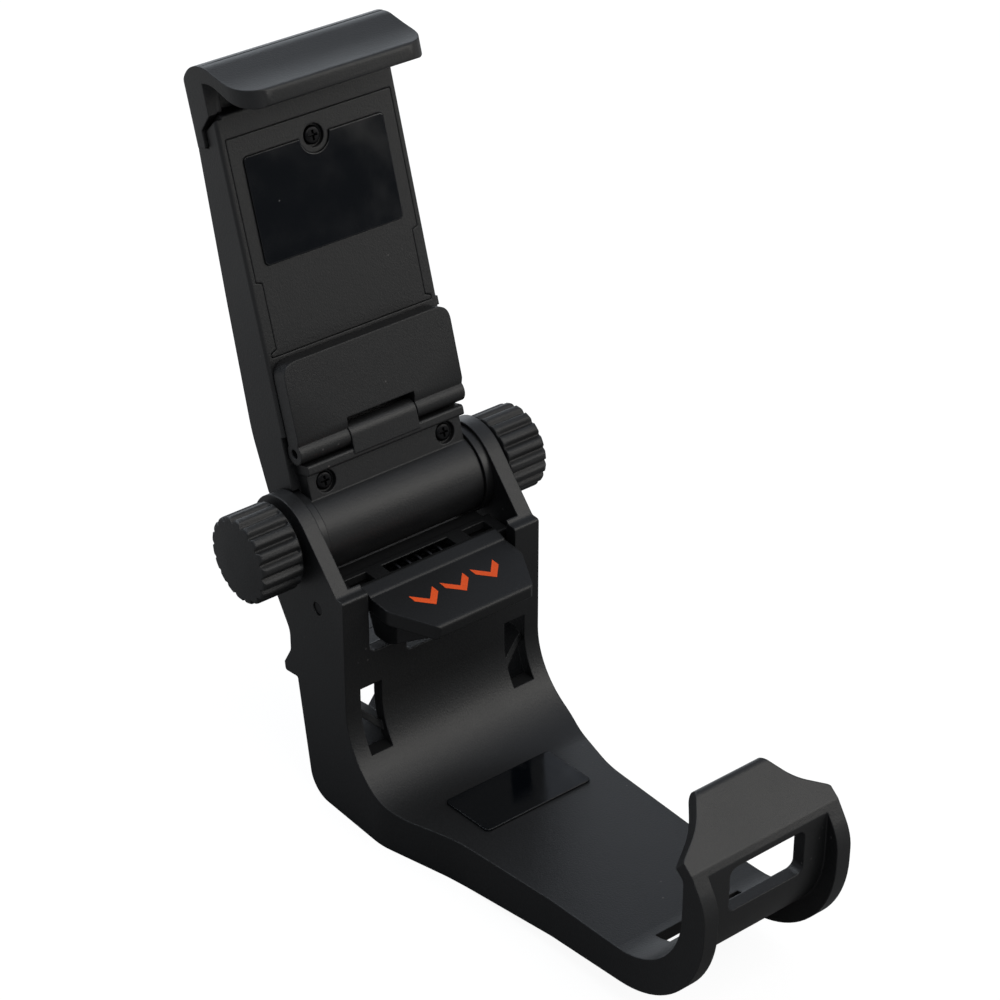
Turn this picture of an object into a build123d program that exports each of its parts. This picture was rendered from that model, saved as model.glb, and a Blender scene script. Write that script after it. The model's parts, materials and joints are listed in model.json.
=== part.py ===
from build123d import *
import os
from math import asin, atan, cos, degrees, radians, sin

os.makedirs("parts", exist_ok=True)

# A clip that holds a phone above a game controller. Millimetres.
# X runs along the tilt axis, the cradle opens towards -Y and +Z is up.
# Everything is drawn about the tilt axis and moved at the end, so that the origin is the
# middle of the pad that the controller rests on.

# Base bracket: a tapered U-shaped channel with two ears at the top
half_width = 21.4
side_wall = 2.9
ear_inner = half_width - side_wall
arm_inset = 5.8
arm_half = half_width - arm_inset
skin = 2.4
ear_radius = 8.7
ear_front_angle = 137.3
ear_back_angle = -32.0
wall_front = 17.1
wall_back = 0.9
post_drop = 3.8
cradle_depth = 80.5
corner_drop = 42.7
arm_rise = 5.6
wall_bend = 15.0
hook_bend = 16.0
floor_drop = 49.8
floor_front = 43.0
floor_back = 6.3
toe_drop = 42.3
toe_bend = 22.0
brow_bend = 9.0
hook_flange = 5.2
lip_drop = 12.7
lip_lead = 1.7
lip_length = 11.5
lip_angle = 38.3
lip_thickness = 2.7
lip_taper = 8.7
lip_tip_half = arm_half - lip_taper
lip_waist = 1.2
lip_waist_bend = 12.0
heel_drop = 26.8
heel_reach = 3.7
rib = 1.2
rib_recess = 1.4
notch_margin = 0.4
notch_half = arm_half + notch_margin
notch_drop = 16.2
relief_half = 8.1
relief_drop = 19.1
slot_inset = 3.2
slot_outer = half_width - slot_inset
slot_width = 4.6
slot_inner = slot_outer - slot_width
slot_rib = 3.8
slot_top = relief_drop + slot_rib
slot_height = 12.6
slot_bottom = slot_top + slot_height
shelf_gap = 2.2
shelf_drop = relief_drop + shelf_gap
plan_step = 9.4
plan_taper = 25.4
plan_swell = 1.4
plan_end = 48.9
plan_shoulder_bend = 14.0
plan_bend = 30.0
heel_bend = 5.0
belly_bend = 30.0
window_half = 8.0
window_top = 14.9
window_bottom = 23.6
root_slot_half = 9.0
root_slot_back = 84.5
root_slot_front = 88.0
arm_pad_margin = 4.0
arm_pad_half = arm_half - arm_pad_margin
arm_pad_corner = 0.9
arm_pad_back = 32.1
arm_pad_front = 44.0
arm_pad_thickness = 0.8
arm_pad_rise = 0.4

# Tilt joint
barrel_radius = 7.6
washer_rim = 0.5
washer_radius = barrel_radius + washer_rim
washer_gap = 0.15
washer_thickness = 1.65
barrel_half = ear_inner - washer_thickness - washer_gap
tail_gap = 0.2
tail_half = barrel_half - tail_gap
bolt_radius = 2.0
hex_flats = 7.0
hex_depth = 3.0
knob_radius = 8.0
knob_gap = 1.0
knob_inner = half_width + knob_gap
knob_length = 8.9
knob_collar = 5.0
knob_dome = 0.7
knob_rim = 1.1
knob_edge = 0.9
hex_floor = 1.6
bolt_grip = 2.0
bolt_reach = 6.0
flutes = 18
flute_groove = 0.55

# Latch lever and its pin
latch_y = -9.7
latch_z = -8.6
latch_pin_radius = 1.25
lever_gap = 1.3
lever_half = notch_half - lever_gap
lever_corner = 8.6
lever_bend = 3.0
lever_tip_bend = 1.6
lever_taper = 4.5
lever_tip_half = lever_half - lever_taper
lever_front = 29.2
lever_top = 5.8
lever_fall = 0.9
lever_lip = 2.8
wedge_margin = 2.0
wedge_half = lever_half - wedge_margin
wedge_inset = 1.4
wedge_drop = 15.4
bar_gap = 0.9
bar_half = ear_inner - bar_gap
bar_overlap = 1.0
bar_back = barrel_radius - bar_overlap
bar_front = 13.2
bar_drop = 11.6
rail_rise = 0.9
rail_back = 0.7
rail_width = 3.5
tail_thickness = 2.2
tail_end = 1.5
coil_half = 7.2
coil_pocket = 2.45
end_slot_inset = 2.2
lever_slot_outer = bar_half - end_slot_inset
end_slot_length = 4.9
lever_slot_inner = lever_slot_outer - end_slot_length
lever_slot_width = 2.7
latch_coil = 1.9
latch_wire = 0.35

# Head: phone clamp, drawn upright and leaned back by this angle
tilt = 16.8
head_gap = 0.4
head_half = ear_inner - head_gap
face = 2.05
head_top = 74.4
head_overlap = 1.2
head_bottom = barrel_radius - head_overlap
back_top = 5.0
back_middle = 6.9
back_middle_v = 42.0
back_middle_bend = 60.0
back_low = 8.2
back_low_v = 18.0
back_low_bend = 30.0
step_drop = 5.5
step_v = head_top - step_drop
step_w = 2.4
flange_front = 4.1
flange_back = 1.25
flange_gap = 0.25
flange_half = barrel_half - flange_gap
flange_screw_rise = 1.4
flange_screw_v = barrel_radius + flange_screw_rise
ledge_rise = 2.2
ledge_height = 1.9
ledge_bottom = flange_screw_v + ledge_rise
ledge_top = ledge_bottom + ledge_height
ledge_front = 5.5
knuckle_rise = 2.3
knuckle_v = ledge_top + knuckle_rise
knuckle_w = 3.7
knuckle_radius = 2.0
knuckle_half = 7.0
hinge_gap = 0.2
flap_pin_radius = 0.8
flap_margin = 0.5
flap_half = head_half - flap_margin
flap_rise = 1.6
flap_bottom = knuckle_v + flap_rise
flap_height = 14.6
flap_top = flap_bottom + flap_height
flap_root = 1.4
flap_notch = 1.8
flap_corner = 3.0
flap_back = 2.35
flap_pin_recess = 1.2
flange_screw_inset = 3.6
flange_screw_x = flange_half - flange_screw_inset
flange_screw_length = 6.0
cover_margin = 1.25
cover_half = head_half - cover_margin
waist_depth = 1.15
cover_waist = cover_half - waist_depth
cover_seam = 0.7
cover_bottom = flap_top + cover_seam
waist_rise = 0.6
cover_waist_bottom = cover_bottom + waist_rise
waist_length = 12.7
cover_waist_top = cover_waist_bottom + waist_length
cover_drop = 4.3
cover_top = head_top - cover_drop
cover_thickness = 1.6
cover_gap = 0.12
pad_margin = 2.5
pad_half = cover_half - pad_margin
pad_drop = 3.6
pad_top = cover_top - pad_drop
pad_height = 18.8
pad_bottom = pad_top - pad_height
pad_bite = 3.0
pad_seat = 0.5
pad_thickness = 0.8
screw_drop = 0.1
screw_v = pad_top - screw_drop
screw_head = 1.65
screw_head_height = 0.8
screw_cross = 2.3
screw_boss_wall = 1.7
screw_shank = 0.9
cover_screw_length = 4.0
cavity_wall = 2.9
cavity_half = head_half - cavity_wall
cavity_rise = 3.0
cavity_bottom = flap_bottom + cavity_rise
cavity_drop = 1.6
cavity_top = cover_top - cavity_drop
cavity_floor = 4.2
shallow_floor = 3.2
shallow_length = 14.1
shallow_from = cover_top - shallow_length

# Top jaw and its two springs
jaw_overhang = 0.6
jaw_half = head_half + jaw_overhang
jaw_back = 5.2
jaw_height = 9.3
jaw_top = head_top + jaw_height
jaw_skin = 3.4
jaw_ceiling = jaw_top - jaw_skin
jaw_leg = 1.6
jaw_leg_chamfer = 2.6
jaw_shoulder_bend = 6.0
jaw_brow_w = 7.5
jaw_brow_bend = 14.0
jaw_ridge_drop = 4.7
jaw_ridge_v = jaw_top - jaw_ridge_drop
jaw_ridge_w = 16.3
jaw_chin_drop = 4.1
jaw_chin_v = jaw_ridge_v - jaw_chin_drop
jaw_chin_w = 11.2
jaw_corner = 6.0
tongue = 1.45
leg_rim = 0.7
leg_front = leg_rim - step_w
jaw_coil = 1.6
jaw_wire = 0.4
spring_inset = 2.8
jaw_spring_x = cavity_half - spring_inset
jaw_spring_w = -1.9
prong_gap = 0.6
boss_gap = 1.4
prong_outer = jaw_spring_x - jaw_coil - jaw_wire - prong_gap
prong_inner = screw_shank + screw_boss_wall + boss_gap
tongue_length = 41.4
prong_bottom = head_top - tongue_length
shoulder_rise = 4.0
shoulder_bottom = prong_bottom + shoulder_rise

# Fits shared by every joint
run = 0.3
shaft = 0.1
press = 0.02

HEAD = Plane(origin=(0, 0, 0), x_dir=(1, 0, 0), z_dir=(0, -cos(radians(tilt)), sin(radians(tilt))))
hook_y = -(wall_front + cradle_depth)
arm_slope = arm_rise / cradle_depth


def profile(corners):
    """Closed face from corners given as (a, b, fillet radius)."""
    points = [(a, b) for a, b, _ in corners]
    radii = [radius for _, _, radius in corners]
    return make_face(FilletPolyline(*points, radius=radii, close=True))


def across(face_2d, half):
    """Prism of a side profile, as far to the left as to the right."""
    return extrude(Plane.YZ * face_2d, amount=half, both=True)


def block(x0, x1, y0, y1, z0, z1):
    """Box between two corners."""
    return Pos((x0 + x1) / 2, (y0 + y1) / 2, (z0 + z1) / 2) * Box(x1 - x0, y1 - y0, z1 - z0)


def rod(radius, x0, x1, y=0.0, z=0.0):
    """Cylinder along X."""
    return Pos((x0 + x1) / 2, y, z) * Rot(0, 90, 0) * Cylinder(radius, x1 - x0)


def post(radius, x, v, w0, w1):
    """Cylinder along the third axis of the frame it is drawn in."""
    return Pos(x, v, (w0 + w1) / 2) * Cylinder(radius, w1 - w0)


def upright(section, v0, v1):
    """Prism along the head, its section drawn as (x, w)."""
    sheet = Plane(origin=(0, v0, 0), x_dir=(1, 0, 0), z_dir=(0, -1, 0))
    return extrude(sheet * section, amount=v0 - v1)


def both_sides(part):
    """The part and its mirror image in the middle plane."""
    return part + mirror(part, about=Plane.YZ)


def tangent_y(angle, z):
    """Y where the tangent of the ear circle at this angle reaches height z."""
    return (ear_radius - z * sin(radians(angle))) / cos(radians(angle))


def arm_z(y, depth=0.0):
    """Height of the arm's upper face, or of a face this deep below it."""
    return -corner_drop - arm_slope * (y + wall_front) - depth * (1 + arm_slope ** 2) ** 0.5


def lip_point(along, deep):
    """Point on the hook's lip, along it from its root and this deep below its outer face."""
    a = radians(lip_angle)
    root = (hook_y - lip_lead, -lip_drop)
    return (root[0] + along * cos(a) + deep * sin(a), root[1] + along * sin(a) - deep * cos(a))


# Base bracket

def bracket_outline():
    """Side view of the bracket, ears included."""
    ear_r = ear_radius
    back = radians(ear_back_angle)
    front = radians(ear_front_angle)
    neck = (ear_r + wall_back * cos(back)) / sin(back)
    tip_in = lip_point(lip_length, lip_thickness)
    tip_out = lip_point(lip_length, 0)
    root = lip_point(0, 0)
    root_in = lip_point((hook_y - root[0] - lip_thickness * sin(radians(lip_angle)))
                        / cos(radians(lip_angle)), lip_thickness)
    toe = hook_y - hook_flange
    side = profile([
        (-wall_front, -post_drop, 0.5),
        (-wall_front, -corner_drop, wall_bend),
        (hook_y, arm_z(hook_y), hook_bend),
        (*root_in, 1.5),
        (*tip_in, 1.2),
        (*tip_out, 1.2),
        (*root, 1.0),
        (toe, -lip_drop - hook_flange, brow_bend),
        (toe, -toe_drop, toe_bend),
        (-floor_front, -floor_drop, belly_bend),
        (-floor_back, -floor_drop, heel_bend),
        (-wall_back - 1.8, -heel_drop, 0.4),
        (-wall_back - 1.8 + heel_reach, -heel_drop - 0.5, 0.5),
        (-wall_back + 2.1, -heel_drop + 1.2, 0.5),
        (-wall_back, -heel_drop + 4.8, 2.0),
        (-wall_back, neck, 4.0),
        (ear_r * cos(back), ear_r * sin(back), 0),
        (ear_r * cos(front), ear_r * sin(front), 0),
        (tangent_y(ear_front_angle, -post_drop), -post_drop, 0.8),
    ])
    return side + Circle(ear_r)


def bracket_plan(inset):
    """Top view of the bracket, made narrower by the inset on each side."""
    right = [
        (half_width - inset, 2 * ear_radius, 0),
        (half_width - inset, -wall_front - plan_step, plan_shoulder_bend),
        (arm_half + plan_swell - inset, -wall_front - plan_taper, plan_bend),
        (arm_half - inset, -wall_front - plan_end, plan_bend),
        (arm_half - inset, hook_y - 3 * hook_flange, 0),
    ]
    left = [(-x, y, radius) for x, y, radius in reversed(right)]
    return Pos(0, 0, -2 * floor_drop) * extrude(profile(right + left), amount=3 * floor_drop)


def channel_space():
    """Room behind, below and in front of the moulded skin."""
    inside = -wall_front + skin
    plate = hook_y - skin
    far = hook_y - 3 * hook_flange
    hollow = profile([
        (inside, 2 * ear_radius, 0),
        (inside, arm_z(inside, skin), wall_bend + skin),
        (plate, arm_z(plate, skin), hook_bend + skin),
        (plate, -lip_drop - 0.8, 0),
        (far, -lip_drop - 0.8, 0),
        (far, -1.2 * floor_drop, 0),
        (2 * ear_radius, -1.2 * floor_drop, 0),
        (2 * ear_radius, 2 * ear_radius, 0),
    ])
    return across(hollow, half_width) & bracket_plan(side_wall)


def rib_lattice():
    """Crossed ribs that stiffen the channel, a little below its open edge."""
    half_skin = skin / 2
    toe = hook_y - hook_flange + rib_recess
    low = -floor_drop + rib_recess
    zone = profile([
        (-wall_front + half_skin, -shelf_drop, 0),
        (-wall_front + half_skin, arm_z(-wall_front, half_skin), wall_bend + half_skin),
        (hook_y - half_skin, arm_z(hook_y, half_skin), hook_bend + half_skin),
        (hook_y - half_skin, -window_top, 0),
        (toe, -window_top, 0),
        (toe, -toe_drop + rib_recess, toe_bend - rib_recess),
        (-floor_front, low, belly_bend - rib_recess),
        (-floor_back - 2 * rib_recess, low, 3.0),
        (-wall_back - 2 * rib_recess, -shelf_drop, 0),
    ])
    reach = arm_half - side_wall
    bars = Part()
    for turn in (45, -45):
        for side in (-1, 1):
            bars += Pos(side * half_width * 0.43, -wall_front / 2, -corner_drop * 0.87) * \
                Rot(0, turn, 0) * Box(rib, wall_front + 4, 2 * corner_drop)
        for cell in range(2):
            bars += Pos(0, -wall_front - (2 * cell + 2) * reach, -corner_drop) * \
                Rot(0, 0, turn) * Box(2.9 * reach, rib, corner_drop * 0.6)
    bars += block(-half_width, half_width, -wall_front, 0, -shelf_drop - rib, -shelf_drop)
    return bars & across(zone, half_width) & bracket_plan(side_wall - 0.2)


def lip_corners():
    """What is cut from the lip so that it narrows towards its tip."""
    a = radians(lip_angle)
    tip = lip_point(lip_length, 0)
    sheet = Plane(origin=(0, tip[0], tip[1]), x_dir=(1, 0, 0), z_dir=(0, -sin(a), cos(a)))
    drop = 0.8 * lip_length
    middle = (arm_half + lip_tip_half) / 2 - lip_waist * cos(a)
    wedge = profile([
        (arm_half + 0.2, -drop, 2.0),
        (middle, -drop / 2 - lip_waist * sin(a), lip_waist_bend),
        (lip_tip_half, 0, 2.0),
        (lip_tip_half - 2, 3, 0),
        (2 * arm_half, 3, 0),
        (2 * arm_half, -drop - 2, 0),
        (arm_half + 0.4, -drop - 2, 0),
    ])
    return both_sides(extrude(sheet * wedge, amount=2 * lip_thickness, both=True))


def wall_openings():
    """Notch for the lever, its relief, and the two slots in the wall."""
    y0 = -wall_front - wall_bend
    y1 = -wall_front + skin + 0.5
    notch = extrude(Plane.XZ.offset(-y1) * profile([
        (-notch_half, -notch_drop, 1.5), (notch_half, -notch_drop, 1.5),
        (notch_half, ear_radius, 0), (-notch_half, ear_radius, 0)]), amount=y1 - y0)
    relief = extrude(Plane.XZ.offset(-y1) * profile([
        (-relief_half, -relief_drop, 1.0), (relief_half, -relief_drop, 1.0),
        (relief_half, -post_drop, 0), (-relief_half, -post_drop, 0)]), amount=y1 - y0)
    slot = block(slot_inner, slot_outer, y0, y1, -slot_bottom, -slot_top)
    return notch + relief + both_sides(slot)


def seat_point():
    """Middle of the arm pad's upper face, as (y, z)."""
    middle = -(arm_pad_back + arm_pad_front) / 2
    return middle, arm_z(middle, -arm_pad_rise)


def pad_block(low, grow):
    """The arm pad's outline on the sloping arm, from its upper face down to this depth."""
    length = arm_pad_front - arm_pad_back + 2 * grow
    pad = extrude(RectangleRounded(2 * (arm_pad_half + grow), length, arm_pad_corner + grow), amount=-low)
    return Pos(0, *seat_point()) * Rot(-degrees(atan(arm_slope)), 0, 0) * pad


def base_bracket():
    """One moulding: wall with ears, arm and hook."""
    body = across(bracket_outline(), half_width) & bracket_plan(0)
    body -= channel_space()
    body -= wall_openings()
    body -= lip_corners()
    window = block(-window_half, window_half, hook_y - 2 * hook_flange, hook_y + 1,
                   -window_bottom, -window_top)
    body -= fillet(window.edges().filter_by(Axis.Y), 1.5)
    body -= block(-root_slot_half, root_slot_half, -root_slot_front, -root_slot_back,
                  -corner_drop, -corner_drop / 2)
    body -= pad_block(arm_pad_thickness, press)
    body += rib_lattice()
    body -= rod(bolt_radius + shaft, -half_width - 1, half_width + 1)
    body -= rod(latch_pin_radius + press, -half_width - 1, half_width + 1, latch_y, latch_z)
    return body


def arm_pad():
    return pad_block(arm_pad_thickness, 0)


# Latch

def latch_lever():
    """Thumb plate with a wedge below it, on a hub bar that turns on the pin."""
    top_back = -lever_top
    top_front = -lever_top - lever_fall
    plate = across(profile([
        (-bar_front + 1, top_back, 0),
        (-lever_front, top_front, 0.7),
        (-lever_front, top_front - lever_lip, 0.7),
        (-bar_front + 1, top_back - lever_lip, 0),
    ]), lever_half)
    shape = profile([
        (-lever_half, 0, 0), (-lever_half, -lever_front + lever_corner, lever_bend),
        (-lever_tip_half, -lever_front - 0.1, lever_tip_bend),
        (lever_tip_half, -lever_front - 0.1, lever_tip_bend),
        (lever_half, -lever_front + lever_corner, lever_bend), (lever_half, 0, 0)])
    plate &= Pos(0, 0, -floor_drop) * extrude(shape, amount=floor_drop)
    wedge = across(profile([
        (-bar_front + 1, top_back - 1, 0),
        (-lever_front + wedge_inset, top_front - 1, 0),
        (-lever_front + wedge_inset, top_front - lever_lip - 0.3, 0.5),
        (-wall_front - 0.6, -wedge_drop, 1.0),
        (-bar_front - 1, -wedge_drop, 0.8),
        (-bar_front + 0.5, -bar_drop, 0),
    ]), wedge_half)
    nose = profile([
        (-wedge_half, 0, 0), (-wedge_half, -lever_front + lever_corner, 1.0),
        (wedge_inset - lever_tip_half, wedge_inset - lever_front - 0.1, 1.0),
        (lever_tip_half - wedge_inset, wedge_inset - lever_front - 0.1, 1.0),
        (wedge_half, -lever_front + lever_corner, 1.0), (wedge_half, 0, 0)])
    wedge &= Pos(0, 0, -floor_drop) * extrude(nose, amount=floor_drop)
    bar = across(profile([
        (-bar_back, top_back - 0.2, 1.4), (-bar_front, top_back - 0.2, 0.4),
        (-bar_front, -bar_drop, 1.4), (-bar_back, -bar_drop, 2.0)]), bar_half)
    rail = across(profile([
        (rail_back - bar_front, top_back - 1, 0),
        (rail_back - bar_front, top_back + rail_rise, 0.7),
        (rail_back - rail_width - bar_front, top_back, 0.7),
        (rail_back - rail_width - bar_front, top_back - 1, 0),
    ]), lever_half)
    tail = rod(barrel_radius + run + tail_thickness, -tail_half, tail_half)
    tail -= rod(barrel_radius + run, -bar_half, bar_half)
    tail &= block(-bar_half, bar_half, -bar_back - 1.5, -tail_end, -bar_drop, top_back - 0.3)
    body = plate + wedge + bar + rail + tail
    body -= rod(coil_pocket, -coil_half, coil_half, latch_y, latch_z)
    body -= block(-coil_half, coil_half, latch_y - coil_pocket, latch_y + coil_pocket - 0.6,
                  -bar_drop - 1, latch_z)
    slot_y = latch_y - 0.55
    half_slot = lever_slot_width / 2
    body -= block(-coil_half, coil_half, slot_y - half_slot, slot_y + half_slot, latch_z, 0)
    body -= both_sides(block(lever_slot_inner, lever_slot_outer, slot_y - half_slot,
                             slot_y + half_slot, latch_z - 1, 0))
    body -= rod(latch_pin_radius + 0.06, -bar_half - 1, bar_half + 1, latch_y, latch_z)
    return body


def latch_pin():
    return rod(latch_pin_radius, -half_width + 0.2, half_width - 0.2, latch_y, latch_z)


def coil(radius, wire, length, turns):
    """Round wire wound along +Z from the origin, with its ends at +X."""
    path = Helix(pitch=length / turns, height=length, radius=radius)
    section = Plane(origin=path @ 0, z_dir=path % 0) * Circle(wire)
    return sweep(section, path=path, is_frenet=True)


def latch_spring():
    """Torsion spring round the pin: one leg on the wall, one on the lever."""
    half = coil_half - 1.5
    wound = Pos(-half, latch_y, latch_z) * Rot(0, 90, 0) * coil(latch_coil, latch_wire, 2 * half, 5)
    low = latch_z - latch_coil
    wall_leg = (Vector(half, latch_y + latch_wire, low),
                Vector(half, -wall_front + skin + latch_wire, -relief_drop - 1.6))
    lever_leg = (Vector(-half, latch_y + latch_wire, low),
                 Vector(-half, latch_y - coil_pocket + latch_wire + shaft, low + latch_wire))
    return wound + leg(*wall_leg, latch_wire) + leg(*lever_leg, latch_wire)


def leg(start, end, wire):
    """Straight wire between two points."""
    line = Line(start, end)
    return sweep(Plane(origin=start, z_dir=end - start) * Circle(wire), path=line)


# Tilt joint

def barrel_bracket():
    """Barrel between the ears, with the flange, ledge and middle hinge knuckle."""
    body = rod(barrel_radius, -barrel_half, barrel_half)
    body += block(-flange_half, flange_half, head_bottom - 0.1, ledge_top, flange_back, flange_front)
    body += across(profile([
        (ledge_bottom, flange_back, 0), (ledge_bottom, ledge_front, 0.5),
        (ledge_top, ledge_front, 0.5), (ledge_top, flange_back, 0)]), flange_half + 0.25)
    web = block(-knuckle_half, knuckle_half, ledge_top - 1, knuckle_v,
                knuckle_w - knuckle_radius, knuckle_w + knuckle_radius)
    body += web + rod(knuckle_radius, -knuckle_half, knuckle_half, knuckle_v, knuckle_w)
    body -= rod(bolt_radius + shaft, -barrel_half - 1, barrel_half + 1)
    body -= rod(flap_pin_radius + press, -knuckle_half - 1, knuckle_half + 1, knuckle_v, knuckle_w)
    hole = post(screw_shank + 0.2, flange_screw_x, flange_screw_v, 0, flange_front + 1)
    hole += post(screw_head + 0.4, flange_screw_x, flange_screw_v, flange_front - 1.1,
                 flange_front + 1)
    return HEAD * (body - both_sides(hole))


def washer(side):
    """Friction ring between one end of the barrel and its ear."""
    inner = side * (barrel_half + washer_gap)
    outer = side * ear_inner
    ring = rod(washer_radius, min(inner, outer), max(inner, outer))
    return ring - rod(bolt_radius + shaft, -half_width, half_width)


def hex_bar(flats, x0, x1):
    """Six-sided bar along X."""
    sheet = Plane.YZ.offset(x0) * RegularPolygon(flats / 2, 6, major_radius=False)
    return extrude(sheet, amount=x1 - x0)


def knob(grip_depth):
    """Right-hand knob, standing outwards along +X, with a domed end."""
    inner = half_width + shaft
    outer = knob_inner + knob_length
    dome_edge = knob_radius - knob_rim
    dome = (dome_edge ** 2 + knob_dome ** 2) / (2 * knob_dome)
    half_angle = asin(dome_edge / dome) / 2
    shoulder = outer - knob_dome - knob_edge
    edge = [
        Polyline((inner, 0), (inner, knob_collar), (knob_inner, knob_collar),
                 (knob_inner, knob_radius - 0.5), (knob_inner + 0.5, knob_radius),
                 (shoulder, knob_radius)),
        ThreePointArc((shoulder, knob_radius), (shoulder + 0.6, knob_radius - 0.35),
                      (outer - knob_dome, dome_edge)),
        ThreePointArc((outer - knob_dome, dome_edge),
                      (outer - dome + dome * cos(half_angle), dome * sin(half_angle)), (outer, 0)),
        Line((outer, 0), (inner, 0)),
    ]
    body = revolve(Plane.XY * make_face(edge), axis=Axis.X)
    groove = rod(flute_groove, knob_inner - 1, shoulder + 0.3, knob_radius + 0.15)
    body -= [Rot(360 / flutes * i, 0, 0) * groove for i in range(flutes)]
    body -= rod(bolt_radius + shaft / 2, half_width, grip_depth)
    body -= hex_bar(hex_flats, knob_inner + hex_floor, knob_inner + hex_floor + hex_depth)
    return body


def right_knob():
    return knob(knob_inner + bolt_reach + run + shaft)


def left_knob():
    return mirror(knob(knob_inner + bolt_grip), about=Plane.YZ)


def knob_nut():
    x0 = knob_inner + hex_floor
    return hex_bar(hex_flats, x0, x0 + hex_depth) - rod(bolt_radius + shaft / 2, x0 - 1, x0 + hex_depth + 1)


def pivot_bolt():
    """Bolt held by the left knob; its plain end turns in the nut of the right knob."""
    x0 = -knob_inner - hex_floor
    shank = rod(bolt_radius, x0, knob_inner + bolt_reach)
    shank = chamfer(shank.edges().group_by(Axis.X)[-1], 0.5)
    return shank + hex_bar(hex_flats, x0 - hex_depth, x0)


# Phone clamp

def rear_housing():
    """Long shell behind the cover, with the room for the tongue and the springs."""
    body = across(profile([
        (head_bottom, flange_back, 0),
        (flap_bottom + 1.2, flange_back, 0),
        (flap_bottom + 1.2, face, 0),
        (head_top, face, 0.5),
        (head_top, -step_w, 0.3),
        (step_v, -step_w, 0.3),
        (step_v, -back_top, 0.4),
        (back_middle_v, -back_middle, back_middle_bend),
        (back_low_v, -back_low, back_low_bend),
        (head_bottom, -back_low + 1.3, 1.0),
    ]), head_half)
    body &= upright(profile([
        (-head_half, -2 * back_low, 0), (head_half, -2 * back_low, 0),
        (head_half, face, 0.6), (-head_half, face, 0.6)]), 0, 2 * head_top)
    body -= both_sides(leg_room())
    body -= rod(barrel_radius + 0.1, -barrel_half - 0.05, barrel_half + 0.05)
    ring = rod(washer_radius + run + 0.1, barrel_half, half_width)
    body -= both_sides(ring)
    pocket_floor = face - cover_thickness
    body -= block(-cavity_half, cavity_half, cavity_bottom, shallow_from, -cavity_floor, pocket_floor)
    body -= block(-cavity_half, cavity_half, shallow_from, cavity_top, -shallow_floor, pocket_floor)
    body -= extrude(Plane.XY.offset(pocket_floor) * cover_shape(cover_gap), amount=2 * cover_thickness)
    mouth = block(-prong_outer - run, prong_outer + run, cavity_top - 1, head_top + 1,
                  pocket_floor - tongue - 0.5, pocket_floor)
    body -= mouth
    boss = post(screw_shank + screw_boss_wall, 0, screw_v, -back_top + 0.5, pocket_floor)
    body += boss & block(-cavity_half, cavity_half, shallow_from, cavity_top, -back_top, pocket_floor)
    body -= post(screw_shank + press, 0, screw_v, -shallow_floor, face)
    body -= both_sides(post(screw_shank + press, flange_screw_x, flange_screw_v, -5, face))
    body += block(head_half - 1, head_half + 0.5, flap_top - 1, flap_top + 0.6, -0.5, 1.5)
    return HEAD * body


def leg_room():
    """Step in the housing's right side that the jaw's leg slides in."""
    front = leg_front + run
    room = profile([
        (step_v, -back_low, 0),
        (head_top + 1, -back_low, 0),
        (head_top + 1, face + 1, 0),
        (head_top - 0.1, face + 1, 0),
        (head_top - jaw_leg_chamfer, front, 0.3),
        (step_v, front, 0),
    ])
    return extrude(Plane.YZ.offset(jaw_half - jaw_leg - run) * room, amount=jaw_leg + run)


def cover_shape(grow):
    """Outline of the cover, with the waist in its lower half."""
    right = [
        (cover_half + grow, cover_bottom - grow, 0.3),
        (cover_half + grow, cover_waist_bottom + grow, 0),
        (cover_waist + grow, cover_waist_bottom + 0.5 + grow, 0),
        (cover_waist + grow, cover_waist_top - 0.4 - grow, 0),
        (cover_half + grow, cover_waist_top - grow, 0),
        (cover_half + grow, cover_top + grow, 0.3),
    ]
    left = [(-x, y, radius) for x, y, radius in reversed(right)]
    return profile(right + left)


def front_cover():
    """Lid of the housing, with the seat of the grip pad and a rimmed screw hole."""
    floor = face - cover_thickness
    body = extrude(Plane.XY.offset(floor) * cover_shape(0), amount=cover_thickness)
    body -= grip_shape(press, face - pad_seat, 1)
    body -= post(screw_head + 0.4, 0, screw_v, face - 0.9, face + 1)
    return HEAD * (body - post(screw_shank + 0.15, 0, screw_v, floor - 1, face))


def grip_shape(grow, w, depth):
    """Block of the grip pad's outline, with the bite for the screw at its top."""
    middle = (pad_bottom + pad_top) / 2
    size = (2 * (pad_half + grow), pad_top - pad_bottom + 2 * grow)
    pad = Pos(0, middle, w) * extrude(RectangleRounded(*size, 0.8), amount=depth)
    return pad - post(pad_bite - grow, 0, screw_v, w - 1, w + depth + 1)


def grip_pad():
    return HEAD * grip_shape(0, face - pad_seat, pad_thickness)


def screw(x, v, under_head, length):
    """Small cross-headed screw with its head above the given height."""
    head = Pos(x, v, under_head) * extrude(Circle(screw_head), amount=screw_head_height)
    head = fillet(head.edges().group_by(Axis.Z)[-1], 0.3)
    head += post(screw_shank, x, v, under_head - length, under_head + 0.4)
    for turn in (0, 90):
        blade = Rot(0, 0, turn) * Box(screw_cross, screw_cross / 4, 1.0)
        head -= Pos(x, v, under_head + screw_head_height) * blade
    return head


def cover_screw():
    return HEAD * screw(0, screw_v, face - 0.9, cover_screw_length)


def flange_screws():
    seat = flange_front - 1.1
    return HEAD * both_sides(screw(flange_screw_x, flange_screw_v, seat, flange_screw_length))


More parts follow.
